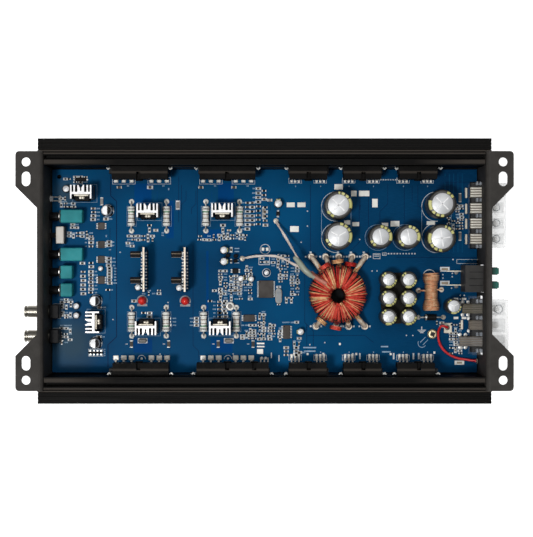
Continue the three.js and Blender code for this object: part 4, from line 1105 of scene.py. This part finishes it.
def field(shape, low, high, share=0.8, cell=(3.2, 2.05)):
    """A patch of the board filled with surface parts, each turned one way or the other."""
    columns = max(1, round((high[0] - low[0]) / cell[0]))
    rows = max(1, round((high[1] - low[1]) / cell[1]))
    for i in range(columns):
        for k in range(rows):
            x = low[0] + (i + 0.5) * (high[0] - low[0]) / columns + dice.uniform(-0.25, 0.25)
            y = low[1] + (k + 0.5) * (high[1] - low[1]) / rows + dice.uniform(-0.12, 0.12)
            drawn = dice.random()
            if drawn < share * 0.74:
                body = dice.choice(("black", "dark_part", "tan_dark", "black", "chip"))
                chip(shape, x, y, dice.choice((0, 0, 90)), 1.75, 1.15, body)
            elif drawn < share:
                label(shape, x, y, 0, 3)


def outline(shape, low, high, paint="print", width=0.28):
    """A printed rectangle on the board."""
    (x0, y0), (x1, y1) = low, high
    for y in (y0, y1):
        flat(shape, (x0 + x1) / 2, y, (x1 - x0 + width, width), paint, thick=0.06)
    for x in (x0, x1):
        flat(shape, x, (y0 + y1) / 2, (width, y1 - y0 - width), paint, thick=0.06)


def ring(shape, x, y, radius, paint="print", width=0.35, start=0, end=360):
    """A printed circle or arc on the board."""
    steps = max(8, int(36 * (end - start) / 360))
    for n in range(steps):
        angles = [radians(start + (end - start) * (n + k) / steps) for k in (0, 1)]
        shape.prism([(x + r * cos(a), y + r * sin(a)) for r, a in
                     ((radius, angles[0]), (radius + width, angles[0]), (radius + width, angles[1]),
                      (radius, angles[1]))], BOARD_TOP + 0.005, BOARD_TOP + 0.05, paint)


def stroke(shape, points, width, paint, thick=0.05):
    """A track or a gap between copper areas, drawn as one thin ribbon with mitred corners."""
    path = [Vector(p) for p in points]
    left, right = [], []
    for n, point in enumerate(path):
        into = (path[n] - path[n - 1]).normalized() if n else (path[1] - path[0]).normalized()
        out = (path[n + 1] - path[n]).normalized() if n < len(path) - 1 else into
        middle_way = (into + out).normalized()
        side = Vector((-middle_way.y, middle_way.x)) / max(0.4, middle_way.dot(into)) * width / 2
        left.append(tuple(point + side))
        right.append(tuple(point - side))
    for a, b, c, d in zip(left, left[1:], right[1:], right):
        shape.prism([a, b, c, d], BOARD_TOP + 0.002, BOARD_TOP + thick, paint)


def small_can(shape, x, y, radius, height, tab=None):
    """A small can in a dark sleeve, with a pale stripe on one side."""
    profile = [(0, 0.2), (radius, 0.2), (radius, height - 0.6), (radius - 0.5, height), (0, height + 0.02)]
    shape.lathe(profile, "sleeve", (x, y, SEAT), 24)
    top = radius * 0.84
    shape.lathe([(0, height), (top, height), (top - 0.2, height + 0.12), (0, height + 0.14)], "can_top",
                (x, y, SEAT), 24)
    shape.box((x, y, SEAT + height + 0.14), (radius, 0.3, 0.1), "score", turn=35)
    if tab is not None:
        at = Vector((x, y, SEAT + height * 0.55)) + polar(tab, radius - 0.35)
        shape.box(at, (0.9, radius, height * 0.8), "stripe", 0.2, tab)


def chip_can(shape, x, y, radius):
    """A surface-mount can on its square base: bare top with a black sector."""
    shape.box((x, y, SEAT + 0.9), (radius * 2.05, radius * 2.05, 1.6), "black", 0.5)
    shape.lathe([(0, 1.7), (radius - 0.5, 1.7), (radius - 0.5, 2.4), (radius, 2.8), (radius, 8.4),
                 (radius - 0.5, 9), (0, 9.02)], "can_top", (x, y, SEAT), 32)
    sector = [polar(-78 + 13 * k, radius - 0.3) for k in range(13)]
    shape.prism([(x + p.x, y + p.y) for p in sector], SEAT + 9, SEAT + 9.14, "black")
    for side in (-1, 1):
        shape.box((x + side * (radius + 0.3), y, SEAT + 0.25), (1.0, 1.3, 0.45), "solder", 0.15)
    ring(shape, x, y, radius + 0.7, "print", 0.25)


def packaged(shape, x, y, size, pins, turn=0, thick=1.7, body="chip"):
    """A moulded package with a row of pins on its two long sides."""
    place = standing(x, y, turn)
    shape.box(place @ Vector((0, 0, SEAT + 0.15 + thick / 2)), (*size, thick), body, 0.25, turn)
    pitch = (size[1] - 0.6) / pins
    for side in (-1, 1):
        for n in range(pins):
            offset = (n - (pins - 1) / 2) * pitch
            at = place @ Vector((side * (size[0] / 2 + 0.55), offset, SEAT + 0.22))
            shape.box(at, (1.25, pitch * 0.55, 0.4), "solder", 0.1, turn)
    spot = place @ Vector((-size[0] / 2 + 0.9, size[1] / 2 - 0.9, SEAT + 0.15 + thick))
    shape.lathe([(0, -0.05), (0.4, -0.05), (0.4, 0.03), (0, 0.04)], "black", spot, 12)


def power_resistor(shape, x, y0, y1, green_end):
    """An emitter resistor lying along Y between two round pads, with green and dark bands."""
    middle_y, half = (y0 + y1) / 2, 6.8
    radius, high = 2.45, SEAT + 2.7
    profile = [(0, -half), (radius - 0.5, -half), (radius + 0.1, -half + 0.8), (radius + 0.1, -half + 2.9),
               (radius - 0.3, -half + 3.6), (radius - 0.3, half - 3.6), (radius + 0.1, half - 2.9),
               (radius + 0.1, half - 0.8), (radius - 0.5, half), (0, half)]
    shape.lathe(profile, "ceramic", (x, middle_y, high), 24, (0, green_end, 0))
    bands = ((2.9, 0.8, "green_band"), (4.9, 0.6, "dark_band"), (-4.6, 0.6, "dark_band"),
             (1.1, 0.5, "tan"), (-1.5, 0.7, "tan"))
    for offset, width, paint in bands:
        y = middle_y + green_end * offset
        reach = radius + (0.15 if abs(offset) > 4.4 else -0.22)
        shape.lathe([(0.5, -width / 2), (reach, -width / 2), (reach, width / 2), (0.5, width / 2)], paint,
                    (x, y, high), 24, (0, 1, 0), closed=True)
    for y, inner in ((y0, middle_y - half), (y1, middle_y + half)):
        shape.tube([(x, inner, high), (x, (y + inner) / 2, high), (x, y, SEAT + 1.6), (x, y, SEAT)], 0.5,
                   "tin", 8, 4)
        shape.lathe([(0, 0), (1.9, 0), (1.7, 0.6), (0.9, 0.9), (0, 1.0)], "pad_solder", (x, y, BOARD_TOP), 20)
        shape.lathe([(0, 0.9), (0.6, 0.9), (0.5, 1.6), (0, 1.7)], "grey_part", (x, y, BOARD_TOP), 12)
    outline(shape, (x - 3.2, middle_y - 7.0), (x + 3.2, middle_y + 7.0), "print_blue", 0.2)


def make_emitter_resistors():
    shape = Shape("emitter_resistors")
    for x in (-92.9, -68.4, -41.0, -17.5):
        power_resistor(shape, x, 28.0, 48.4, 1)
    for x in (-92.7, -68.7, -42.5, -19.8):
        power_resistor(shape, x, -45.4, -25.4, -1)
    shape.finish("lead_white")


def make_indicator_lights():
    shape = Shape("indicator_lights")
    for x, y in ((-85.5, -20.8), (-55.5, -21.0)):
        shape.lathe([(0, 0.2), (2.9, 0.2), (2.9, 1.2), (2.5, 1.4), (2.5, 5.6), (2.2, 6.6), (1.5, 7.4),
                     (0.7, 7.8), (0, 7.9)], "red_lens", (x, y, SEAT), 24)
        ring(shape, x, y, 3.1, "print_grey", 0.8, -20, 200)
        flat(shape, x, y - 2.9, (7, 1.7), "print_grey")
    shape.finish("winding_red")


def transistor_pads():
    """Tinned pads in threes in front of every transistor, inside printed outlines."""
    shape = Shape("transistor_pads")
    for side, pad_y in ((1, 63.0), (-1, -60.6)):
        for x in (-98.3, -73.6, -37.5, -14.8):
            for offset in (-5.45, 0, 5.45):
                size = (4.0, 3.4, 0.9) if side < 0 else (3.0, 2.7, 0.9)
                shape.box((x + offset, pad_y, BOARD_TOP + 0.4), size, "pad_solder", 0.42)
            if side > 0:
                outline(shape, (x - 7.9, pad_y - 2.3), (x + 7.9, pad_y + 2.4), width=0.25)
                label(shape, x + 2.9, pad_y - 3.6)
        for x in (21.3, 38.8, 58.7, 75.7, 96.6, 113.5):
            for offset in (-2.54, 0, 2.54):
                spot = pad_y + side * 0.4
                tall = 4.2 if side < 0 else 3.0
                shape.box((x + offset, spot - side * (tall / 2 - 1.2), BOARD_TOP + 0.25), (1.7, tall, 0.5),
                          "pad_solder", 0.24)
            outline(shape, (x - 4.4, pad_y - 1.7), (x + 4.4, pad_y + 1.9), width=0.25)
            label(shape, x + 0.3, pad_y - side * 3.9, 0, 1)
    for x in (-2.1, 0.7):
        shape.lathe([(0, 0), (1.2, 0), (0.9, 0.6), (0, 1.0)], "solder", (x, -61, BOARD_TOP), 14)
    for x in (-85.9, -25.6):
        ring(shape, x, -61.6, 2.5, "print", 0.4, 0, 180)
        shape.lathe([(0, 0), (0.9, 0), (0.7, 0.5), (0, 0.7)], "solder", (x, -61.2, BOARD_TOP), 14)
    for x in (-101.5, -80, -44.5, -21.5):
        chip(shape, x, 58.4, 0, 2.6, 1.8, "chip")
    for x in (-67, -6):
        label(shape, x, 57.2, 90)
    for x in (61.5, 66.5, 90.1, 103.9, 107.6):
        flat(shape, x, -59.5, (1.1, 4.2), "print")
    for x, y, wide in ((83.7, -52.8, 5), (85, -56.5, 6), (31.5, -53.5, 9), (31.5, -56, 8)):
        flat(shape, x, y, (wide, 0.9), "print_blue")
    shape.finish("nickel")


def clamp_clips():
    """Bare spring tips that show past the ends of the clamp bars."""
    shape = Shape("clamp_spring_tips")
    for wall, side in WALLS.items():
        for n in range(1, 6):
            low, high = node_box(f"{wall}_clamp_bar_{n}")
            for end, x in ((-1, low.x - 1.2), (1, high.x + 1.2)):
                if n == 3 and end > 0:
                    continue
                y = side * 70.0
                shape.tube([(x, y, 34), (x, y, 45.5), (x + end * 0.9, y - side * 0.9, 46.6),
                            (x + end * 2.0, y + side * 0.2, 46.4)], 0.55, "solder", 8, 4)
    shape.finish("nickel")


# Rectangular tinned test pads: centre, size.
TEST_PADS = [
    ((20.8, 29.3), (6, 4)), ((51.7, 58.7), (5.9, 3.8)), ((62.3, 54.1), (3.8, 3.8)),
    ((69.5, 54.1), (7.2, 3.8)), ((77.0, 47.4), (3.8, 5.9)), ((63.6, 32.7), (4.7, 2.8)),
    ((57.6, 33.9), (4.2, 3.0)), ((91.0, 33.0), (6.2, 3.8)), ((84.0, 32.4), (4.4, 2.4)),
    ((116.0, 33.5), (5.8, 2.6)), ((18.2, 46.2), (5.6, 3.2)), ((25.7, 46.2), (5.6, 3.2)),
]


def make_board_print():
    """Silk-screened outlines, tracks and gaps between the copper areas."""
    tracks = Shape("board_tracks")
    divide = [(-107.5, 67), (-107.5, 52.5), (-103.4, 48.7), (-103.4, -46), (-109.4, -51.5), (-109.4, -67)]
    stroke(tracks, divide, 0.55, "gap")
    gaps = [
        [(-58, 60), (-58, 27), (-58, 20)], [(-50, 18), (-50, -52), (-46, -56), (-46, -68)],
        [(-60, 66), (-60, 34)], [(-47, 58), (-47, 24)], [(86, 61), (86, 47), (80.5, 41.5), (80.5, 33)],
        [(97.5, 59), (97.5, 30)], [(107, 60), (107, 46), (112, 41), (112, 30)], [(103, 60), (103, 48.5)],
        [(72.5, 58), (72.5, 13)], [(66, 50), (66, 20), (60, 14)], [(32, 60), (32, 8)],
        [(92, 9.5), (148, 9.5)], [(126, 66), (126, 62), (148, 62)], [(30, -45), (70, -45), (76, -50)],
        [(-108, 30), (-108, -20)], [(28, 2), (28, -36), (34, -42), (34, -66)],
    ]
    for points in gaps:
        stroke(tracks, points, 0.3, "gap")
    for n in range(16):
        x = -75 + n * 9.5 + dice.uniform(-2, 2)
        side = dice.choice((-1, 1))
        reach = dice.uniform(6, 16)
        kink = dice.choice((-3, 0, 3))
        path = [(x, side * 56), (x, side * (56 - reach)), (x + kink, side * (56 - reach - abs(kink))),
                (x + kink, side * (52 - reach - abs(kink)))]
        stroke(tracks, path, 0.3, dice.choice(("deep_mask", "pale_mask", "gap")))
    for x, y, size in ((-85, 53, (12, 16)), (-27, 53, (11, 17)), (-85, -52, (13, 10)), (-30, -52, (15, 10)),
                       (-66, 36, (5, 26)), (-36.5, 26, (12, 6)), (-40, -9, (1.6, 46))):
        flat(tracks, x, y, size, "deep_mask", thick=0.012)
    for k in range(5):
        stroke(tracks, [(126 + 3 * k, 68), (126 + 3 * k, 13)], 0.5, "pale_mask", 0.03)
    tracks.finish("board_blue")

    prints = Shape("board_print")
    for x in (50, 120):
        for y in (45, 23.1):
            ring(prints, x, y, 10.1, "print", 0.4, 95, 275)
        for side in (-1, 1):
            flat(prints, x + side * 10.3, 34, (0.25, 21.6), "print_blue", thick=0.05)
    for x, y, radius in ((79.1, 23.4, 8.9), (98.2, 23.4, 8.9)):
        ring(prints, x, y, radius, "print_blue", 0.25)
    ring(prints, 115.1, -3.6, 4.2, "print", 0.5, 10, 170)
    outline(prints, (134.2, 5.2), (150, 8), width=0.25)
    for centre, size in TEST_PADS:
        flat(prints, *centre, size, "hasl", thick=0.25)
    for x, y, size in ((78.2, 10.3, (4.7, 3.4)), (83.6, 11.8, (2.6, 1.8))):
        outline(prints, (x - size[0] / 2, y - size[1] / 2), (x + size[0] / 2, y + size[1] / 2), width=0.4)
        flat(prints, x, y, (size[0] - 1.4, 0.5), "print", thick=0.06)
        flat(prints, x, y + 1.0, (size[0] - 1.4, 0.4), "print", thick=0.06)
    for n in range(10):
        flat(prints, 86.5 + 2.05 * n, 12.1, (1.1 if n < 4 else 0.9, 0.9), "print", thick=0.06)
    for n in range(9):
        flat(prints, 79.5 + 1.7 * n, 63.7, (1.0, 0.8), "print", thick=0.06)
    for x, y in ((-100.9, 13.1), (-105.9, -33.9), (-49.5, -36), (-58, 9), (-31, 6.6), (-67.5, -24),
                 (-67.5, -22),
                 (42, -50), (31.6, -51.5), (25.5, 20), (66.4, 22), (99, -45), (103.5, -45), (29.9, 41.8),
                 (29.9, 31.4), (75, 0), (78.5, 0), (-22, -58), (-73, -58), (124.5, -5), (124.5, -2.6),
                 (131, -4), (131, -1.6), (131.5, 8), (130.5, -12)):
        flat(prints, x, y, (0.8, 0.8), "print", 45, thick=0.06)
    for node in COMBS:
        low, high = node_box(node)
        outline(prints, (low.x - 1.1, low.y - 1.1), (high.x + 1.3, high.y + 1.0), "print_blue", 0.22)
    prints.finish("lead_white")


def front_clusters(shape):
    """Surface parts between the front driver stages and the supply controller."""
    for low, high in (((-16.8, -48), (-6, -37)), ((-5, -48.5), (0.8, -27.5)), ((2.5, -48.5), (7.2, -37)),
                      ((9.2, -49), (12.6, -39))):
        field(shape, low, high, 0.95, (2.9, 1.95))
    packaged(shape, -10.9, -32.9, (8.0, 4.8), 4)
    several(column, shape, (-31.5, -21.5, 6, 2.6, -3.6), (-28.2, -22.6, 3, 2.6))
    shape.lathe([(0, 0.2), (3, 0.2), (3, 2.6), (2.4, 3.2), (0, 3.3)], "pad_solder", (-24.1, -24.6, SEAT), 24)
    shape.lathe([(0, 3.2), (1.8, 3.2), (1.6, 3.5), (0, 3.6)], "grey_part", (-24.1, -24.6, SEAT), 20)
    for x in (-85.2, -25.0):
        shape.box((x, -48.7, BOARD_TOP + 0.06), (6.8, 3.6, 0.12), "print")
        shape.box((x, -48.7, SEAT + 1.2), (6.0, 2.9, 2.2), "grey_part", 1.0)
    for x in (-93, -67, -32.4, -8.1):
        chip(shape, x, -51, 90, 4.2, 2.1, "chip", halo=False)
        flat(shape, x - 3.4, -51, (1.6, 0.5), "print")
    for x0 in (-36.7, -86):
        field(shape, (x0, -16.9), (x0 + 20.7, -12.6), 0.85)
    flat(shape, -2.8, -50.6, (5.2, 1.0), "hasl", thick=0.2)
    flat(shape, -2.8, -52.8, (5.2, 0.9), "hasl", thick=0.2)
    flat(shape, -3.2, -56.2, (4.2, 3.4), "hasl", thick=0.2)
    for x, y0, y1 in ((4.7, -60.8, -57), (10, -63.2, -58.8)):
        flat(shape, x, (y0 + y1) / 2, (0.7, y1 - y0), "print")
    for x, y in ((-47.5, -35.5), (-67, -35.5)):
        column(shape, x, y + 2.4, 3, 2.4, -3.6 if x > -60 else 4.0)
    for x in (15, 22):
        column(shape, x, -53.6, 3, 2.5)


def earth_mark(shape, x, y):
    """A printed earth sign and a screw outline beside the board screw."""
    flat(shape, x, y + 1.4, (0.6, 2.2), "print")
    for n, width in enumerate((5.6, 4.0, 2.4)):
        flat(shape, x, y - 0.9 * n, (width, 0.5), "print")
    for side in (-1, 1):
        flat(shape, x + 1.7 + side * 0.9, y - 7.6 - side * 0.9, (5.2, 0.4), "print_blue", 45)
    ring(shape, x + 0.2, y - 9.2, 2.6, "print_blue", 0.4, 150, 330)


def make_signal_parts():
    """Small parts at the control end and round the driver stages."""
    shape = Shape("signal_parts")
    packaged(shape, -128.2, 63.8, (7.4, 2.6), 1, body="black")
    several(field, shape, ((-134, 61), (-123, 66.5), 0.95), ((-140.5, 60.5), (-135.5, 65.5), 0.9),
            ((-140.5, 43.6), (-132, 48.5), 0.9), ((-143, 45), (-138, 54), 0.6))
    small_can(shape, -138.0, 57.1, 2.65, 5)
    several(chip_can, shape, (-109.6, 42.0, 3.5), (-117.8, -20.8, 3.5), (-117.8, -50.2, 3.5))
    chip(shape, -113.7, 48.6, 90, 4.6, 2.0, "grey_part")
    several(column, shape, (-119.6, 43.6, 4, 2.55, 3.4), (-110.8, 36.3, 1, 2, 3.2))
    for y, tall in ((31.3, 4.9), (18.4, 4.9), (8.0, 5.0), (-6.3, 5.4)):
        packaged(shape, -114.0, y, (4.6, tall), 4)
    several(field, shape, ((-135.4, 29.2), (-129.8, 33.4), 1.0), ((-138, 23.2), (-119.4, 27.6), 0.95))
    several(column, shape, (-121.2, 22.4, 3, 2.6, -3.6), (-108.6, 20.2, 2, 2.4, 2.8))
    several(label, shape, (-110.6, 24.4, 90), (-108.0, 14.9))
    several(column, shape, (-108.8, 8.8, 3, 2.5, 3.6), (-127.2, 5.4, 1, 2), (-121.2, 5.6, 2, 2.6))
    small_can(shape, -114.3, 1.7, 1.9, 3)
    several(column, shape, (-126.7, -0.6, 6, 3.05), (-121.3, -0.4, 7, 2.45, 3.5),
            (-108.2, 1.8, 6, 2.05, 3.8), (-109.4, -13.2, 1, 2, 2.6), (-115.4, -25.5, 1, 2, 3.4))
    for y in (-24.4, -30.9):
        small_can(shape, -131.0, y, 2.35, 5)
    several(field, shape, ((-143.2, -33.5), (-133.8, -19), 0.85, (2.9, 1.9)),
            ((-143.2, -51), (-134.2, -37), 0.8, (2.9, 1.9)))
    column(shape, -115.6, -46, 1, 2, 3.2)
    for k in range(4):
        packaged(shape, -121.6 + 2.45 * k, -57.0, (1.5, 3.0), 1, 90, 0.6, "black")
    outline(shape, (-122.9, -59.4), (-113, -54.6), width=0.35)
    for n in range(4):
        label(shape, -111.6, -54.8 - 1.4 * n, 0, 1)

    for x0 in (-96.5, -47):
        field(shape, (x0, 20.5), (x0 + 20, 25.6), 0.85)
    field(shape, (-97, 16.5), (-91, 20.5), 0.9)
    for x in (-79.4, -28.2):
        column(shape, x - 1.0, 31.9, 1, 2.2)
        several(chip, shape, (x - 1.0, 28.6, 90, 1.9, 1.3, "chip"), (x + 3.4, 28.4, 0, 1.9, 1.3, "tan"))
        several(label, shape, (x + 8.2, 26.6), (x + 8.2, 24.9))
    for x in (-84.6, -31.5):
        several(column, shape, (x, -29.3, 1, 2.2), (x + 4.2, -29.5, 2, 2.5), (x - 6.6, -21.0, 1, 2))
    chip(shape, -60.6, 46, 90, 4.8, 2.3, "grey_part")
    several(small_can, shape, (-87.4, -11.2, 2.4, 12), (-58.9, -11.6, 2.4, 12))
    shape.finish("lead_white")


def make_control_parts():
    """Parts of the supply controller and the microcircuits in the middle of the board."""
    shape = Shape("controller_parts")
    several(column, shape, (-12.0, 47.6, 7, 3.05, -3.3), (-8.6, 47.6, 6, 3.05), (-4.4, 57.5, 9, 3.1, -3.2),
            (-0.4, 56, 3, 3.0), (0.4, 44.4, 5, 3.1))
    for y in (42.4, 38.4):
        chip(shape, -0.6, y, 90, 2.7, 1.9, "grey_part")
    field(shape, (-33, 21.4), (-12, 26.2), 0.95)
    small_can(shape, 9.5, 46.8, 3.0, 7, 90)
    chip(shape, 3.6, 49.4, 0, 2.6, 1.8, "grey_part")
    packaged(shape, 9.3, 40.0, (2.9, 2.4), 2, 90, 1.2, "black")
    for y in (14.5, 6.6):
        small_can(shape, -28.3, y, 2.75, 7, 0)
        several(flat, shape, (-19.4, y + 1.2, (3.2, 0.7), "print_blue"),
                (-19.4, y - 0.9, (3.2, 0.7), "print_blue"))
        chip(shape, -23.4, y + 0.3, 90, 2.2, 1.5, "chip")
    for x, y in ((-25.6, 10.8), (-20.2, 10.4), (-20.4, 7.0)):
        shape.box((x, y, SEAT + 2.2), (2.9, 2.5, 4.2), "epoxy", 0.5)
    packaged(shape, -20.4, 0.0, (4.2, 3.6), 2, body="black")
    several(field, shape, ((-32.5, -22), (-25.5, 3), 0.95, (3.2, 2.1)),
            ((-25, -20.5), (-8.6, -2.6), 0.9, (3.2, 2.1)), ((-13.6, -3), (-8.2, 3.5), 1.0))
    several(small_can, shape, (-16.5, -5.3, 2.2, 5, 0), (-9.3, -5.6, 2.1, 5, 180), (1.3, -1.2, 2.0, 5))
    ring(shape, 1.3, -1.2, 2.6, "print", 0.4)
    packaged(shape, 1.0, -12.7, (10.2, 12.0), 14, thick=1.6)
    ring(shape, 0.3, 15.2, 3.2, "print", 0.4)
    for x in (-1.2, 1.8):
        shape.box((x, 15.2, SEAT + 0.4), (2.1, 2.4, 0.8), "pad_solder", 0.3)
    outline(shape, (-4.0, 4.4), (3.4, 10.4), width=0.4)
    several(field, shape, ((-3.6, 5), (3.0, 10), 0.9), ((4.6, 2.6), (17.5, 11.5), 0.9),
            ((9.4, -8.5), (16.4, 2.4), 0.95), ((17.6, -17.4), (24.6, 3), 0.9),
            ((13.6, -22), (20.5, -17.6), 0.9))
    crystal = [(-2.25 + p[0], p[1]) for p in arc((2.25, 3.0), 2.25, 0, 180)]
    crystal += [(-2.25 + p[0], p[1]) for p in arc((2.25, -3.0), 2.25, 180, 360)]
    body = standing(9.8, -17.4)
    shape.prism(crystal, SEAT, SEAT + 0.8, "ceramic_warm", body)
    shape.prism([(x * 0.84, y * 0.93) for x, y in crystal], SEAT + 0.8, SEAT + 3.4, "print_grey", body)
    for y in (-11.2, -23.4):
        chip(shape, 9.8, y, 0, 1.6, 1.0, "chip")
    packaged(shape, 15.3, -42.6, (5.0, 9.4), 8, thick=1.6)
    small_can(shape, 25.0, -42.3, 2.5, 6, 180)
    front_clusters(shape)
    several(field, shape, ((12, -37.4), (23.6, -34.4), 1.0), ((19.4, -52), (25.6, -46), 0.9))
    shape.finish("lead_white")


def make_supply_parts():
    """Diode, screw and surface parts at the power end."""
    shape = Shape("supply_parts")
    profile = [(0, -4.1), (1.7, -4.1), (2.05, -3.7), (2.05, 3.7), (1.7, 4.1), (0, 4.1)]
    shape.lathe(profile, "black", (115.5, -32.3, SEAT + 2.1), 20, (1, 0, 0))
    shape.lathe([(0.5, -0.6), (2.15, -0.6), (2.15, 0.6), (0.5, 0.6)], "tin", (112.4, -32.3, SEAT + 2.1), 20,
                (1, 0, 0), closed=True)
    for side, end in ((-1, 107.2), (1, 124.8)):
        shape.tube([(115.5 + side * 4, -32.3, SEAT + 2.1), (end - side * 1.2, -32.3, SEAT + 1.8),
                    (end, -32.3, SEAT)], 0.5, "tin", 8, 5)
        fillet = [(0, 0), (1.7, 0), (1.5, 0.5), (0.8, 1.0), (0, 1.1)]
        shape.lathe(fillet, "cream_metal", (end, -32.3, BOARD_TOP), 20)
    screw = (117, -44, SEAT)
    shape.lathe([(0, 0), (3.4, 0), (3.4, 1.1), (2.6, 2.2), (0, 2.5)], "brass", screw, 32)
    # A dark disc and two dark bars on the head stand for the cross recess: painted shade.
    shape.lathe([(0, 2.3), (1.5, 2.3), (1.5, 2.62), (0, 2.62)], "dark_band", screw, 20)
    for turn in (20, 110):
        shape.box((117, -44, SEAT + 2.42), (4.2, 0.8, 0.5), "dark_band", 0.1, turn)
    earth_mark(shape, 109.7, -41.3)
    shape.box((136, -64, BOARD_TOP + 0.15), (6.8, 3, 0.3), "hasl", 0.14)
    shape.box((136, -64, BOARD_TOP + 0.35), (3.6, 1.4, 0.3), "tan", 0.14)
    for y in (51.2, 24.3):
        chip(shape, 136.4, y, 90, 5.4, 1.9, "grey_part")
    several(field, shape, ((133.6, 28.5), (138.6, 46.5), 0.75), ((127, 28), (133, 38), 0.6),
            ((128.6, -58.6), (138, -36.6), 0.85, (3.0, 2.0)), ((119, -40), (125, -35), 0.7))
    for x in (133.6, 139.2):
        for y in (-19.6, -32.8):
            flat(shape, x, y, (3.2, 1.6), "hasl", thick=0.25)
    for x in (136.6, 139.4):
        for y in (-17, -19.6):
            flat(shape, x, y, (0.9, 0.9), "print", 45)
    for x in (35.5, 54.6, 63.6, 72.6):
        several(flat, shape, (x - 3.4, 13.0, (1.4, 1.2), "print"), (x - 3.4, 10.6, (1.4, 1.2), "print"))
    column(shape, 24.2, -57, 1, 2, 3)
    for x, y in ((20.6, -58), (30, -58), (41, -58), (52.5, -51), (64, -58), (88, -58), (118.5, -57)):
        flat(shape, x, y, (1.3, 1.6), "hasl", thick=0.2)
    shape.finish("lead_white")


# ------------------------------------------------------------------ making it all


dress_cad()
make_capacitors()
make_toroid()
make_choke()
for node_name, quarter in COMBS.items():
    make_comb(node_name, quarter)
for number in (1, 2):
    make_driver_board(f"driver_board_{number}")
    make_jack(f"rca_jack_{number}")
    make_fuse(f"blade_fuse_{number}", f"fuse_{number}")
for name in POTS:
    make_pot(f"{name}_pot")
make_switch()
make_power_led()
make_fuse_leads()
make_contacts()
make_leads()
make_emitter_resistors()
make_indicator_lights()
transistor_pads()
clamp_clips()
make_board_print()
make_signal_parts()
make_control_parts()
make_supply_parts()
